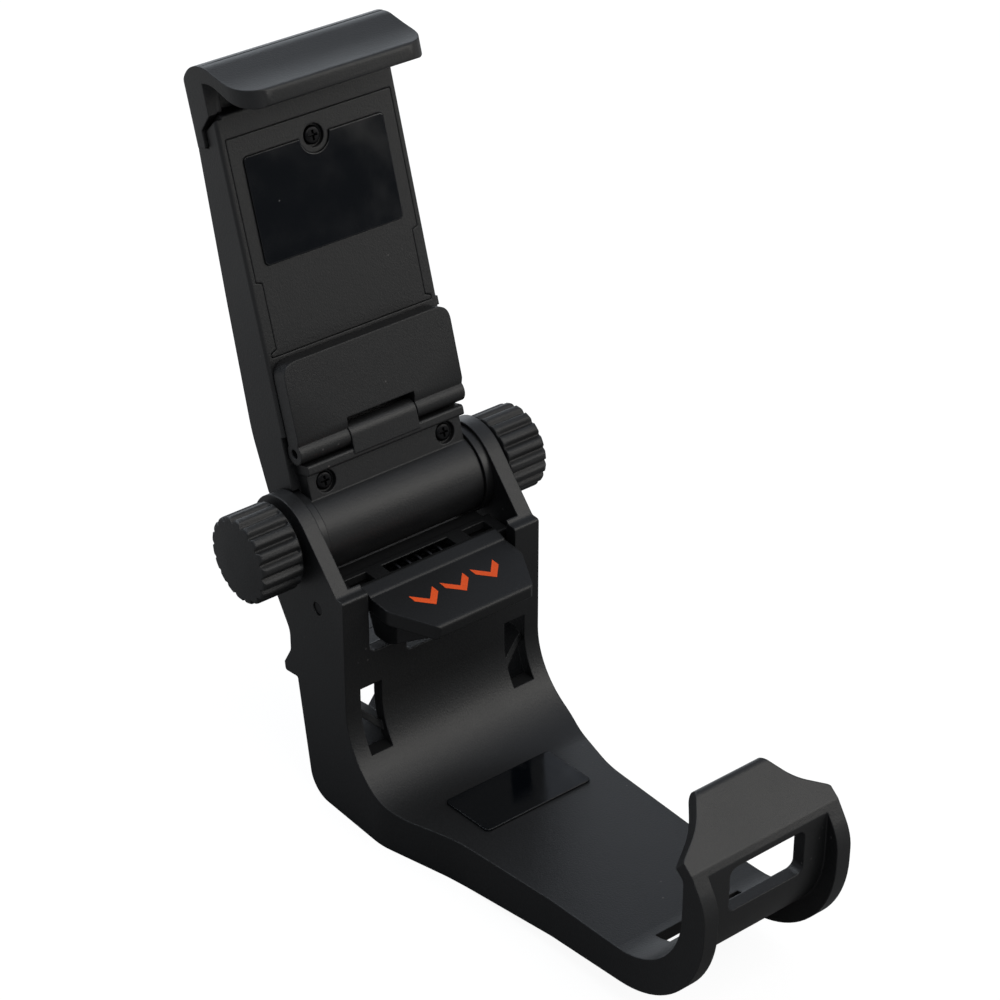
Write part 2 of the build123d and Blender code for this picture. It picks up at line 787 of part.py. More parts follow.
def top_jaw():
    """Sliding jaw: cap, two side legs and a forked tongue inside the housing."""
    inner = -step_w - run
    lip_back = jaw_chin_w - 1.8
    body = across(profile([
        (step_v + shaft, -jaw_back, 0.5),
        (jaw_top, -jaw_back, jaw_shoulder_bend),
        (jaw_top - 1.2, jaw_brow_w, jaw_brow_bend),
        (jaw_ridge_v, jaw_ridge_w, 1.5),
        (jaw_chin_v, jaw_chin_w, 0.8),
        (jaw_chin_v + 0.7, lip_back + 0.2, 0.4),
        (jaw_ceiling - 1.3, lip_back, 1.5),
        (jaw_ceiling, 3.0, 1.0),
        (jaw_ceiling, inner, 0.6),
        (step_v + shaft, inner, 0.3),
    ]), jaw_half)
    side = profile([
        (step_v + shaft, -jaw_back + 0.1, 0.4),
        (jaw_ceiling + 1, -jaw_back + 0.1, 3.0),
        (jaw_ceiling + 1, 1.6, 0),
        (head_top + run, 1.6, 0.3),
        (head_top + run - jaw_leg_chamfer, leg_front, 0.3),
        (step_v + shaft, leg_front, 0.3),
    ])
    leg_side = extrude(Plane.YZ.offset(jaw_half - jaw_leg) * side, amount=jaw_leg)
    thick = profile([
        (head_top + run, -step_w, 0), (jaw_ceiling + 1, -step_w, 0),
        (jaw_ceiling + 1, 1.6, 0), (head_top + run, 1.6, 0.3)])
    leg_side += extrude(Plane.YZ.offset(jaw_half - 2.6) * thick, amount=2)
    body += both_sides(leg_side)
    body &= jaw_plan()
    front = face - cover_thickness - 0.25
    back = front - tongue
    prong = block(prong_inner, prong_outer, prong_bottom, jaw_ceiling + 1, back, front)
    prong += block(prong_inner, jaw_spring_x + 2.2, shoulder_bottom, shoulder_bottom + 3,
                   back - 1.35, front)
    prong += block(0, prong_outer, prong_bottom, prong_bottom + 2.5, back, front)
    return HEAD * (body + both_sides(prong))


def jaw_plan():
    """Room that the jaw's rounded front corners leave: upright down to the ridge, then leaning back."""
    far = -3 * back_low

    def section(front):
        return profile([
            (-jaw_half, far, 0), (jaw_half, far, 0),
            (jaw_half, front, jaw_corner), (-jaw_half, front, jaw_corner)])

    lean = Vector(0, jaw_chin_v - jaw_ridge_v, jaw_chin_w - jaw_ridge_w)
    sheet = Plane(origin=(0, jaw_ridge_v, 0), x_dir=(1, 0, 0), z_dir=(0, -1, 0))
    room = upright(section(jaw_ridge_w), jaw_ridge_v, jaw_top + 1)
    room += extrude(sheet * section(jaw_ridge_w), amount=lean.length, dir=lean.normalized())
    room += upright(section(jaw_chin_w), step_v - 1, jaw_chin_v)
    back = profile([
        (-jaw_half, -jaw_back, 1.6), (jaw_half, -jaw_back, 1.6),
        (jaw_half, 2 * jaw_ridge_w, 0), (-jaw_half, 2 * jaw_ridge_w, 0)])
    return room & upright(back, step_v - 2, jaw_top + 2)


def jaw_spring(side):
    """Pull spring from the floor of the housing to the jaw's tongue."""
    end = 1.6
    length = shoulder_bottom - cavity_bottom - 2 * end
    wound = Rot(-90, 0, 0) * coil(jaw_coil, jaw_wire, length, 6)
    wound = Pos(0, cavity_bottom + end, 0) * wound
    wound += block(jaw_coil - jaw_wire, jaw_coil + jaw_wire, cavity_bottom,
                   cavity_bottom + end + jaw_wire / 2, -jaw_wire / 2, jaw_wire)
    wound += block(jaw_coil - jaw_wire, jaw_coil + jaw_wire, shoulder_bottom - end - jaw_wire / 2,
                   shoulder_bottom, -jaw_wire, jaw_wire / 2)
    return HEAD * (Pos(side * jaw_spring_x, 0, jaw_spring_w) * wound)


def clamp_flap():
    """Fold-out shelf for the phone's lower edge."""
    front = knuckle_w + knuckle_radius
    plate = Plane.XY.offset(flap_back) * profile([
        (-flap_half, flap_bottom - flap_root, 0), (flap_half, flap_bottom - flap_root, 0),
        (flap_half, flap_top, flap_corner), (-flap_half, flap_top, flap_corner)])
    body = extrude(plate, amount=front - flap_back)
    body = fillet(body.edges().group_by(Axis.Z)[-1].filter_by(
        lambda e: e.center().Y > flap_bottom), 0.5)
    body += rod(knuckle_radius, -flap_half, flap_half, knuckle_v, knuckle_w)
    body -= block(-knuckle_half - hinge_gap, knuckle_half + hinge_gap,
                  0, flap_bottom + flap_notch, 0, 2 * front)
    body -= rod(flap_pin_radius + 0.06, -flap_half - 1, flap_half + 1, knuckle_v, knuckle_w)
    return HEAD * body


def flap_pin():
    half = flap_half - flap_pin_recess
    return HEAD * rod(flap_pin_radius, -half, half, knuckle_v, knuckle_w)


def save(part, node):
    """Write one node, moved so that the origin is on the arm pad."""
    y, z = seat_point()
    export_step(Pos(0, -y, -z) * part, "parts/" + node + ".step")


save(base_bracket(), "base_bracket")
save(arm_pad(), "arm_pad")
save(latch_lever(), "latch_lever")
save(latch_pin(), "latch_pin")
save(latch_spring(), "latch_spring")
save(barrel_bracket(), "barrel_bracket")
save(washer(-1), "left_washer")
save(washer(1), "right_washer")
save(pivot_bolt(), "pivot_bolt")
save(left_knob(), "left_knob")
save(right_knob(), "right_knob")
save(knob_nut(), "knob_nut")
save(rear_housing(), "rear_housing")
save(front_cover(), "front_cover")
save(grip_pad(), "grip_pad")
save(cover_screw(), "cover_screw")
save(top_jaw(), "top_jaw")
save(jaw_spring(-1), "jaw_spring_left")
save(jaw_spring(1), "jaw_spring_right")
save(clamp_flap(), "clamp_flap")
save(flap_pin(), "flap_pin")
save(flange_screws(), "flange_screws")
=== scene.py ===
"""Looks of a clip that holds a phone above a game controller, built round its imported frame.

Lengths are in metres. X runs along the tilt axis, the hook end points to -Y and +Z is up.
"""

import json
from math import acos, cos, pi, radians, sin

import bmesh
import bpy
from bpy.props import FloatProperty, FloatVectorProperty, IntProperty, PointerProperty
from mathutils import Matrix, Vector


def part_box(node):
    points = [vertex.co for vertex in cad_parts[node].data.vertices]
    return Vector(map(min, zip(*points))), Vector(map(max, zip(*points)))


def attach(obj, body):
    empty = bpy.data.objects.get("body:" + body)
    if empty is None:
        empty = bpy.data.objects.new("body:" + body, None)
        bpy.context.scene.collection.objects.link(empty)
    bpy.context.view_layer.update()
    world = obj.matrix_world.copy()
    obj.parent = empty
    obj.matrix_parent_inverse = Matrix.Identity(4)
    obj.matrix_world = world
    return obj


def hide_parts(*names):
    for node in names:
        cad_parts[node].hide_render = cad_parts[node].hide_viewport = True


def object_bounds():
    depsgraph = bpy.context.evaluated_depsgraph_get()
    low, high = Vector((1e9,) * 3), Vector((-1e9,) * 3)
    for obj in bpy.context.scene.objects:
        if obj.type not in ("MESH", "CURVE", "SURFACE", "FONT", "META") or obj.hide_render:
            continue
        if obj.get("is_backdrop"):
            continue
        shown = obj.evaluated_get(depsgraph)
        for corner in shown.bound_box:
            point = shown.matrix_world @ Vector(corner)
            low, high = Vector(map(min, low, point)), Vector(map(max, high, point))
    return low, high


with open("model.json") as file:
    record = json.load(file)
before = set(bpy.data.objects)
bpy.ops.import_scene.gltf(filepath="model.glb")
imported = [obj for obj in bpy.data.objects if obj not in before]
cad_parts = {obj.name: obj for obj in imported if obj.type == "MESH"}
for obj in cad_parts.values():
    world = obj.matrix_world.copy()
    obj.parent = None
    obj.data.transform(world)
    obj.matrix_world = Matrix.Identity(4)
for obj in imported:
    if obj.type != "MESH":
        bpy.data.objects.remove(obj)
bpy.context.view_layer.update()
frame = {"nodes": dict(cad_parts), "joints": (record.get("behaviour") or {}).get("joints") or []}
NODES = frame["nodes"]
MM = 0.001

bl_info = {
    "name": "Controller phone clip",
    "version": (1, 0, 0),
    "blender": (4, 5, 0),
    "location": "View3D > Sidebar > Phone clip",
    "description": "Finishes, small parts and stage of a clip that holds a phone above a controller",
    "category": "Object",
}


# Places that come from the frame

def joint_named(name):
    """The frame's own record of one joint."""
    return next(joint for joint in frame["joints"] if joint["name"] == name)


# The three directions on the phone clamp, and the planes that outlines are drawn in
ACROSS = Vector((1, 0, 0))
UP_THE_HEAD = Vector(joint_named("jaw_slide")["axis"]).normalized()
OUT_OF_HEAD = UP_THE_HEAD.cross(ACROSS).normalized()
if OUT_OF_HEAD.y > 0:
    OUT_OF_HEAD.negate()
SIDE_VIEW = (UP_THE_HEAD, OUT_OF_HEAD, ACROSS)
TOP_VIEW = (ACROSS, OUT_OF_HEAD, UP_THE_HEAD)
FRONT_VIEW = (ACROSS, UP_THE_HEAD, OUT_OF_HEAD)
TILT_AXIS = Vector(joint_named("head_tilt")["pos_m"])


# Sizes and colours that a user would change

class ClipFinish(bpy.types.PropertyGroup):
    """Colours and surface of the mouldings, pads and metal."""
    plastic: FloatVectorProperty(
        name="Plastic", description="Colour of the black mouldings",
        subtype="COLOR", size=3, min=0, max=1, default=(0.0085, 0.0088, 0.0092))
    knob: FloatVectorProperty(
        name="Knob plastic", description="Colour of the two knobs",
        subtype="COLOR", size=3, min=0, max=1, default=(0.0095, 0.0098, 0.0102))
    gel: FloatVectorProperty(
        name="Gel pad", description="Colour of the glossy pads",
        subtype="COLOR", size=3, min=0, max=1, default=(0.002, 0.0028, 0.004))
    # The pins are coloured this dark so their ends show as dark as the holes round them: in part a
    # painted shade
    steel: FloatVectorProperty(
        name="Steel", description="Colour of the pins and springs",
        subtype="COLOR", size=3, min=0, max=1, default=(0.03, 0.03, 0.032))
    # Blackened screws, coloured darker still so the heads show as dark as their deep counterbores: in
    # part a painted shade
    screws: FloatVectorProperty(
        name="Screws", description="Colour of the blackened screws",
        subtype="COLOR", size=3, min=0, max=1, default=(0.02, 0.02, 0.021))
    mark: FloatVectorProperty(
        name="Mark", description="Colour of the printed mark on the thumb plate",
        subtype="COLOR", size=3, min=0, max=1, default=(0.9, 0.10, 0.012))
    grain: FloatProperty(
        name="Grain size", description="Distance between the pits of the moulded grain",
        subtype="DISTANCE", unit="LENGTH", min=0.0001, max=0.002, default=0.00035)
    edge: FloatProperty(
        name="Edge radius", description="Rounding of the moulded edges",
        subtype="DISTANCE", unit="LENGTH", min=0, max=0.002, default=0.00035)


class ClipParts(bpy.types.PropertyGroup):
    """Sizes of the parts that the scene models itself."""
    flutes: IntProperty(
        name="Flutes", description="Number of flutes round each knob", min=6, max=40, default=18)
    flute_depth: FloatProperty(
        name="Flute depth", description="Depth of a flute below the knob's skin",
        subtype="DISTANCE", unit="LENGTH", min=0, max=0.002, default=0.0009)
    screw_radius: FloatProperty(
        name="Screw head radius", description="Radius of the small screw heads",
        subtype="DISTANCE", unit="LENGTH", min=0.0005, max=0.004, default=0.00165)
    lip_root: FloatProperty(
        name="Lip root", description="Distance from the jaw's back to where its lip starts",
        subtype="DISTANCE", unit="LENGTH", min=0.005, max=0.012, default=0.007)
    lip_drop: FloatProperty(
        name="Lip drop", description="Height of the jaw's crown above the lip's front edge",
        subtype="DISTANCE", unit="LENGTH", min=0.001, max=0.01, default=0.0042)
    lip_skin: FloatProperty(
        name="Lip skin", description="Height of the jaw's crown above the underside of the lip's root",
        subtype="DISTANCE", unit="LENGTH", min=0.001, max=0.006, default=0.0029)
    lip_thickness: FloatProperty(
        name="Lip thickness", description="Height of the upright front edge of the jaw's lip",
        subtype="DISTANCE", unit="LENGTH", min=0.001, max=0.006, default=0.0031)
    lip_corner: FloatProperty(
        name="Lip corner", description="Length of the rounding beside the lip's front corners",
        subtype="DISTANCE", unit="LENGTH", min=0, max=0.01, default=0.0065)
    flap_valley: FloatProperty(
        name="Flap valley", description="Depth of the valley above the flap's hinge roll",
        subtype="DISTANCE", unit="LENGTH", min=0, max=0.0015, default=0.0005)
    flap_corner: FloatProperty(
        name="Flap corner", description="Length of the rounding beside the flap's top corners",
        subtype="DISTANCE", unit="LENGTH", min=0, max=0.006, default=0.003)
    hinge_half: FloatProperty(
        name="Hinge gap", description="Half the width of the gap for the middle knuckle",
        subtype="DISTANCE", unit="LENGTH", min=0.003, max=0.012, default=0.0072)
    wall: FloatProperty(
        name="Side wall", description="Thickness of the bracket's side walls",
        subtype="DISTANCE", unit="LENGTH", min=0.001, max=0.005, default=0.0029)
    shelf_drop: FloatProperty(
        name="Shelf drop", description="Height of the tilt axis above the middle of the inner shelf",
        subtype="DISTANCE", unit="LENGTH", min=0.01, max=0.04, default=0.0219)
    shelf_back: FloatProperty(
        name="Shelf back", description="Distance of the inner shelf's back edge before the tilt axis",
        subtype="DISTANCE", unit="LENGTH", min=-0.01, max=0.01, default=-0.0008)
    shelf_depth: FloatProperty(
        name="Shelf depth", description="Depth of the strip that carries the inner shelf back",
        subtype="DISTANCE", unit="LENGTH", min=0.001, max=0.01, default=0.006)
    shelf_thickness: FloatProperty(
        name="Shelf thickness", description="Thickness of the inner shelf",
        subtype="DISTANCE", unit="LENGTH", min=0.0005, max=0.003, default=0.0012)
    marks: IntProperty(
        name="Marks", description="Number of arrows printed on the thumb plate",
        min=1, max=5, default=3)
    mark_back: FloatProperty(
        name="Mark place", description="Distance of the arrows from the thumb plate's front edge",
        subtype="DISTANCE", unit="LENGTH", min=0.004, max=0.012, default=0.0084)
    mark_half: FloatProperty(
        name="Mark size", description="Half the width of one arrow",
        subtype="DISTANCE", unit="LENGTH", min=0.0005, max=0.005, default=0.0025)
    mark_weight: FloatProperty(
        name="Mark weight", description="Width of an arrow's stroke along the plate",
        subtype="DISTANCE", unit="LENGTH", min=0.0002, max=0.004, default=0.0018)
    mark_pitch: FloatProperty(
        name="Mark spacing", description="Distance between two printed arrows",
        subtype="DISTANCE", unit="LENGTH", min=0.001, max=0.01, default=0.0066)


class ClipStage(bpy.types.PropertyGroup):
    """Floor, light and camera."""
    floor: FloatVectorProperty(
        name="Floor", description="Colour of the floor",
        subtype="COLOR", size=3, min=0, max=1, default=(0.12, 0.12, 0.12))
    white: FloatProperty(
        name="Floor white", description="Share of full white that the camera sees the bare floor at",
        subtype="FACTOR", min=0, max=1, default=0.93)
    mirror: FloatProperty(
        name="Floor in reflections", description="Share of the distant floor's white seen in reflections",
        subtype="FACTOR", min=0, max=1, default=0.4)
    lens: FloatProperty(
        name="Lens", description="Focal length of the camera in millimetres",
        min=10, max=300, default=107.725)
    key: FloatProperty(
        name="Key light", description="Power of the large lamp",
        subtype="POWER", unit="POWER", min=0, max=100, default=2.0)
    sky: FloatProperty(
        name="Sky", description="Strength of the soft surround overhead",
        min=0, max=5, default=0.45)
    horizon: FloatProperty(
        name="Horizon", description="Strength of the soft surround at eye level",
        min=0, max=5, default=0.10)


# Material helpers

def new_group(name, inputs, outputs):
    """Empty shader group with named sockets. Sockets are (name, type, default)."""
    group = bpy.data.node_groups.new(name, "ShaderNodeTree")
    for label, kind, default in inputs:
        socket = group.interface.new_socket(label, in_out="INPUT", socket_type=kind)
        if default is not None:
            socket.default_value = default
    for label, kind in outputs:
        group.interface.new_socket(label, in_out="OUTPUT", socket_type=kind)
    return group, group.nodes.new("NodeGroupInput"), group.nodes.new("NodeGroupOutput")


def add(tree, kind, **values):
    """New node; a value goes to the node's property or, by name or number, to its input."""
    node = tree.nodes.new(kind)
    for key, value in values.items():
        label = key.replace("_", " ")
        if hasattr(node, key) and not isinstance(value, bpy.types.NodeSocket):
            setattr(node, key, value)
        elif isinstance(value, bpy.types.NodeSocket):
            tree.links.new(value, find_input(node, label))
        else:
            find_input(node, label).default_value = value
    return node


def find_input(node, label):
    """Input socket by name, in any case, or by number written as in0, in1."""
    if label.startswith("in") and label[2:].isdigit():
        return node.inputs[int(label[2:])]
    return next(s for s in node.inputs if s.name.lower() == label.lower() and s.enabled)


def grain_group():
    """Spark-eroded mould grain: fine pits, with a slow change of gloss between areas."""
    group, get, put = new_group(
        "Mould grain",
        [("Pitch", "NodeSocketFloat", 0.00035), ("Depth", "NodeSocketFloat", 0.1),
         ("Roughness", "NodeSocketFloat", 0.5), ("Normal", "NodeSocketVector", None)],
        [("Roughness", "NodeSocketFloat"), ("Normal", "NodeSocketVector"),
         ("Shade", "NodeSocketFloat")])
    place = add(group, "ShaderNodeTexCoord").outputs["Object"]
    density = add(group, "ShaderNodeMath", operation="DIVIDE", in0=1.0, in1=get.outputs["Pitch"])
    fine = add(group, "ShaderNodeTexNoise", vector=place, scale=density.outputs[0],
               detail=3.0, roughness=0.6)
    slow = add(group, "ShaderNodeTexNoise", vector=place, scale=70.0, detail=3.0)
    bump = add(group, "ShaderNodeBump", strength=get.outputs["Depth"], distance=0.0001,
               height=fine.outputs[0], normal=get.outputs["Normal"])
    drift = add(group, "ShaderNodeMapRange", value=slow.outputs[0], to_min=-0.05, to_max=0.05)
    rough = add(group, "ShaderNodeMath", operation="ADD", in0=get.outputs["Roughness"],
                in1=drift.outputs[0])
    shade = add(group, "ShaderNodeMapRange", value=fine.outputs[0], from_min=0.3, from_max=0.7,
                to_min=0.86, to_max=1.14)
    group.links.new(rough.outputs[0], put.inputs["Roughness"])
    group.links.new(bump.outputs[0], put.inputs["Normal"])
    group.links.new(shade.outputs[0], put.inputs["Shade"])
    return group


def edge_group():
    """Rounded edges, and the mask of patches along them where a highlight is painted."""
    group, get, put = new_group(
        "Handled edge",
        [("Radius", "NodeSocketFloat", 0.00035), ("Amount", "NodeSocketFloat", 0.5)],
        [("Normal", "NodeSocketVector"), ("Mask", "NodeSocketFloat")])
    bevel = add(group, "ShaderNodeBevel", samples=6, radius=get.outputs["Radius"])
    flat = add(group, "ShaderNodeNewGeometry")
    same = add(group, "ShaderNodeVectorMath", operation="DOT_PRODUCT",
               in0=bevel.outputs[0], in1=flat.outputs["Normal"])
    edge = add(group, "ShaderNodeMapRange", value=same.outputs["Value"],
               from_min=0.995, from_max=0.80, to_min=0.0, to_max=1.0)
    patch = add(group, "ShaderNodeTexNoise", vector=add(group, "ShaderNodeTexCoord").outputs["Object"],
                scale=260.0, detail=4.0)
    spread = add(group, "ShaderNodeMapRange", value=patch.outputs[0], from_min=0.35, from_max=0.65)
    # Patches along the edges where a lighter colour is painted as a highlight
    painted_highlight_patches = add(group, "ShaderNodeMath", operation="MULTIPLY", in0=edge.outputs[0],
               in1=spread.outputs[0])
    mask = add(group, "ShaderNodeMath", operation="MULTIPLY", in0=painted_highlight_patches.outputs[0],
               in1=get.outputs["Amount"])
    group.links.new(bevel.outputs[0], put.inputs["Normal"])
    group.links.new(mask.outputs[0], put.inputs["Mask"])
    return group


def dust_group():
    """Sparse specks of dust."""
    group, get, put = new_group(
        "Dust", [("Amount", "NodeSocketFloat", 0.3)], [("Mask", "NodeSocketFloat")])
    place = add(group, "ShaderNodeTexCoord").outputs["Object"]
    specks = add(group, "ShaderNodeTexVoronoi", vector=place, scale=420.0)
    dots = add(group, "ShaderNodeMapRange", value=specks.outputs["Distance"],
               from_min=0.10, from_max=0.05)
    where = add(group, "ShaderNodeTexNoise", vector=place, scale=90.0, detail=2.0)
    sparse = add(group, "ShaderNodeMapRange", value=where.outputs[0], from_min=0.58, from_max=0.66)
    both = add(group, "ShaderNodeMath", operation="MULTIPLY", in0=dots.outputs[0],
               in1=sparse.outputs[0])
    mask = add(group, "ShaderNodeMath", operation="MULTIPLY", in0=both.outputs[0],
               in1=get.outputs["Amount"])
    group.links.new(mask.outputs[0], put.inputs["Mask"])
    return group


def group_node(tree, group, **values):
    """Node that holds a shader group, with its inputs set."""
    node = tree.nodes.new("ShaderNodeGroup")
    node.node_tree = group
    for key, value in values.items():
        if isinstance(value, bpy.types.NodeSocket):
            tree.links.new(value, node.inputs[key])
        else:
            node.inputs[key].default_value = value
    return node


def shared_group(name, make):
    """The named shader group, built once."""
    return bpy.data.node_groups.get(name) or make()


def empty_material(name):
    """Material with only a Principled BSDF and its output."""
    material = bpy.data.materials.new(name)
    material.use_nodes = True
    tree = material.node_tree
    shader = next(node for node in tree.nodes if node.type == "BSDF_PRINCIPLED")
    return material, tree, shader


def mixed(tree, mask, first, second):
    """Colour that goes from first to second with the mask."""
    mix = tree.nodes.new("ShaderNodeMix")
    mix.data_type = "RGBA"
    tree.links.new(mask, mix.inputs["Factor"])
    for socket, value in ((mix.inputs[6], first), (mix.inputs[7], second)):
        if isinstance(value, bpy.types.NodeSocket):
            tree.links.new(value, socket)
        else:
            socket.default_value = (*value, 1)
    return mix.outputs[2]


def moulded(name, colour, roughness, depth, edge_highlight=0.6, specular=0.5):
    """Grained black moulding with rounded edges, a painted highlight on them in patches, and a little
    dust.
    """
    finish = bpy.context.scene.clip_finish
    material, tree, shader = empty_material(name)
    edge = group_node(tree, shared_group("Handled edge", edge_group),
                      Radius=finish.edge, Amount=edge_highlight)
    grain = group_node(tree, shared_group("Mould grain", grain_group), Pitch=finish.grain,
                       Depth=depth, Roughness=roughness, Normal=edge.outputs["Normal"])
    dust = group_node(tree, shared_group("Dust", dust_group), Amount=0.35)
    shaded = tree.nodes.new("ShaderNodeMix")
    shaded.data_type = "RGBA"
    shaded.blend_type = "MULTIPLY"
    shaded.inputs["Factor"].default_value = 1.0
    shaded.inputs[6].default_value = (*colour, 1)
    tree.links.new(grain.outputs["Shade"], shaded.inputs[7])
    # Painted highlight: the edges are coloured lighter, in patches
    with_painted_highlight = mixed(tree, edge.outputs["Mask"], shaded.outputs[2], tuple(c * 1.7 for c in colour))
    dusty = mixed(tree, dust.outputs["Mask"], with_painted_highlight, (0.20, 0.19, 0.18))
    tree.links.new(dusty, shader.inputs["Base Color"])
    tree.links.new(grain.outputs["Roughness"], shader.inputs["Roughness"])
    tree.links.new(grain.outputs["Normal"], shader.inputs["Normal"])
    shader.inputs["Specular IOR Level"].default_value = specular
    return material


def glossy_gel(name, colour):
    """Sticky gel pad: almost mirror-like, with faint smears and specks."""
    material, tree, shader = empty_material(name)
    place = add(tree, "ShaderNodeTexCoord").outputs["Object"]
    smear = add(tree, "ShaderNodeTexNoise", vector=place, scale=140.0, detail=5.0)
    rough = add(tree, "ShaderNodeMapRange", value=smear.outputs[0], from_min=0.35, from_max=0.7,
                to_min=0.06, to_max=0.16)
    wave = add(tree, "ShaderNodeTexNoise", vector=place, scale=55.0, detail=1.0)
    edge = group_node(tree, shared_group("Handled edge", edge_group), Radius=0.0003, Amount=0.3)
    bump = add(tree, "ShaderNodeBump", strength=0.12, distance=0.0004, height=wave.outputs[0],
               normal=edge.outputs["Normal"])
    dust = group_node(tree, shared_group("Dust", dust_group), Amount=0.5)
    speckled = mixed(tree, dust.outputs["Mask"], colour, (0.22, 0.22, 0.22))
    tree.links.new(speckled, shader.inputs["Base Color"])
    tree.links.new(rough.outputs[0], shader.inputs["Roughness"])
    tree.links.new(bump.outputs[0], shader.inputs["Normal"])
    return material


def bare_metal(name, colour, roughness):
    """Drawn metal with fine lines along X."""
    material, tree, shader = empty_material(name)
    place = add(tree, "ShaderNodeTexCoord").outputs["Object"]
    stretch = add(tree, "ShaderNodeMapping", vector=place, scale=(200.0, 9000.0, 9000.0))
    lines = add(tree, "ShaderNodeTexNoise", vector=stretch.outputs[0], scale=1.0, detail=3.0)
    rough = add(tree, "ShaderNodeMapRange", value=lines.outputs[0],
                to_min=roughness - 0.1, to_max=roughness + 0.1)
    tint = add(tree, "ShaderNodeMapRange", value=lines.outputs[0])
    shade = mixed(tree, tint.outputs[0], tuple(c * 0.75 for c in colour), colour)
    tree.links.new(shade, shader.inputs["Base Color"])
    tree.links.new(rough.outputs[0], shader.inputs["Roughness"])
    shader.inputs["Metallic"].default_value = 1.0
    return material


def print_ink(name, colour):
    """Screen-printed ink, slightly uneven, with a satin skin."""
    material, tree, shader = empty_material(name)
    place = add(tree, "ShaderNodeTexCoord").outputs["Object"]
    cover = add(tree, "ShaderNodeTexNoise", vector=place, scale=1800.0, detail=2.0)
    thin = add(tree, "ShaderNodeMapRange", value=cover.outputs[0], from_min=0.62, from_max=0.8)
    shade = mixed(tree, thin.outputs[0], colour, tuple(c * 0.6 for c in colour))
    rough = add(tree, "ShaderNodeMapRange", value=cover.outputs[0], to_min=0.4, to_max=0.6)
    tree.links.new(shade, shader.inputs["Base Color"])
    tree.links.new(rough.outputs[0], shader.inputs["Roughness"])
    return material


MATERIALS = {}


def finish_named(name):
    """The material of one finish, made when it is first asked for."""
    finish = bpy.context.scene.clip_finish
    makers = {
        "bracket_plastic": lambda: moulded("bracket_plastic", finish.plastic, 0.42, 0.35),
        "head_plastic": lambda: moulded("head_plastic", finish.plastic, 0.46, 0.45),
        "lever_plastic": lambda: moulded("lever_plastic", finish.plastic, 0.40, 0.25, specular=0.4),
        "knob_plastic": lambda: moulded("knob_plastic", finish.knob, 0.50, 0.5),
        "washer_plastic": lambda: moulded("washer_plastic", finish.plastic, 0.35, 0.1),
        "gel_pad": lambda: glossy_gel("gel_pad", finish.gel),
        "steel": lambda: bare_metal("steel", finish.steel, 0.35),
        "black_steel": lambda: bare_metal("black_steel", finish.screws, 0.35),
        "mark_ink": lambda: print_ink("mark_ink", finish.mark),
    }
    if name not in MATERIALS:
        MATERIALS[name] = makers[name]()
    return MATERIALS[name]


def dress(node, finish):
    """Give a CAD node its finish."""
    slots = NODES[node].data.materials
    if not slots:
        slots.append(finish_named(finish))
    for index in range(len(slots)):
        slots[index] = finish_named(finish)


# Mesh and Geometry Nodes helpers

def mesh_object(name, mesh):
    """Object of a mesh, linked to the scene."""
    thing = bpy.data.objects.new(name, mesh)
    bpy.context.scene.collection.objects.link(thing)
    return thing


def object_from(name, shape):
    """Object of a bmesh, which is freed."""
    bmesh.ops.recalc_face_normals(shape, faces=shape.faces)
    mesh = bpy.data.meshes.new(name)
    shape.to_mesh(mesh)
    shape.free()
    return mesh_object(name, mesh)


def smooth(thing, angle=35):
    """Smooth shading, with edges sharper than the angle kept."""
    thing.data.polygons.foreach_set("use_smooth", [True] * len(thing.data.polygons))
    thing.data.set_sharp_from_angle(angle=radians(angle))
    return thing


def lathe(outline, steps):
    """Closed solid of an outline (along, radius) turned about X. Its ends are on the axis."""
    shape = bmesh.new()
    rings = []
    for along, radius in outline:
        if radius == 0:
            rings.append([shape.verts.new((along, 0, 0))])
            continue
        turn = 2 * pi / steps
        rings.append([shape.verts.new((along, radius * cos(turn * i), radius * sin(turn * i)))
                      for i in range(steps)])
    for ring, following in zip(rings, rings[1:]):
        for i in range(steps):
            j = (i + 1) % steps
            if len(ring) == 1:
                shape.faces.new((ring[0], following[i], following[j]))
            elif len(following) == 1:
                shape.faces.new((ring[i], following[0], ring[j]))
            else:
                shape.faces.new((ring[i], following[i], following[j], ring[j]))
    return shape


def rounded(start, corner, end, steps=5):
    """Points of a corner rounded between start and end."""
    points = []
    for i in range(steps + 1):
        t = i / steps
        points.append(tuple((1 - t) ** 2 * a + 2 * t * (1 - t) * b + t * t * c
                            for a, b, c in zip(start, corner, end)))
    return points


def curved(corners, steps=6):
    """Outline from corners, each two coordinates and the length of the rounding beside it."""
    points = []
    for i, (first, second, cut) in enumerate(corners):
        here = Vector((first, second))
        if not cut:
            points.append(tuple(here))
            continue
        ends = [here + (Vector(corners[j][:2]) - here).normalized() * cut
                for j in (i - 1, (i + 1) % len(corners))]
        points += rounded(ends[0], here, ends[1], steps)
    return points


def head_solid(name, outline, axes, low, high):
    """Solid on the clamp: an outline along the first two axes, carried along the third."""
    first, second, third = axes
    shape = bmesh.new()
    ends = [[shape.verts.new(first * a + second * b + third * c) for a, b in outline]
            for c in (low, high)]
    shape.faces.new(ends[0])
    shape.faces.new(ends[1][::-1])
    for i in range(len(outline)):
        j = (i + 1) % len(outline)
        shape.faces.new((ends[0][i], ends[1][i], ends[1][j], ends[0][j]))
    return object_from(name, shape)


def rectangle(a0, a1, b0, b1):
    """Corners of a rectangle."""
    return [(a0, b0), (a1, b0), (a1, b1), (a0, b1)]


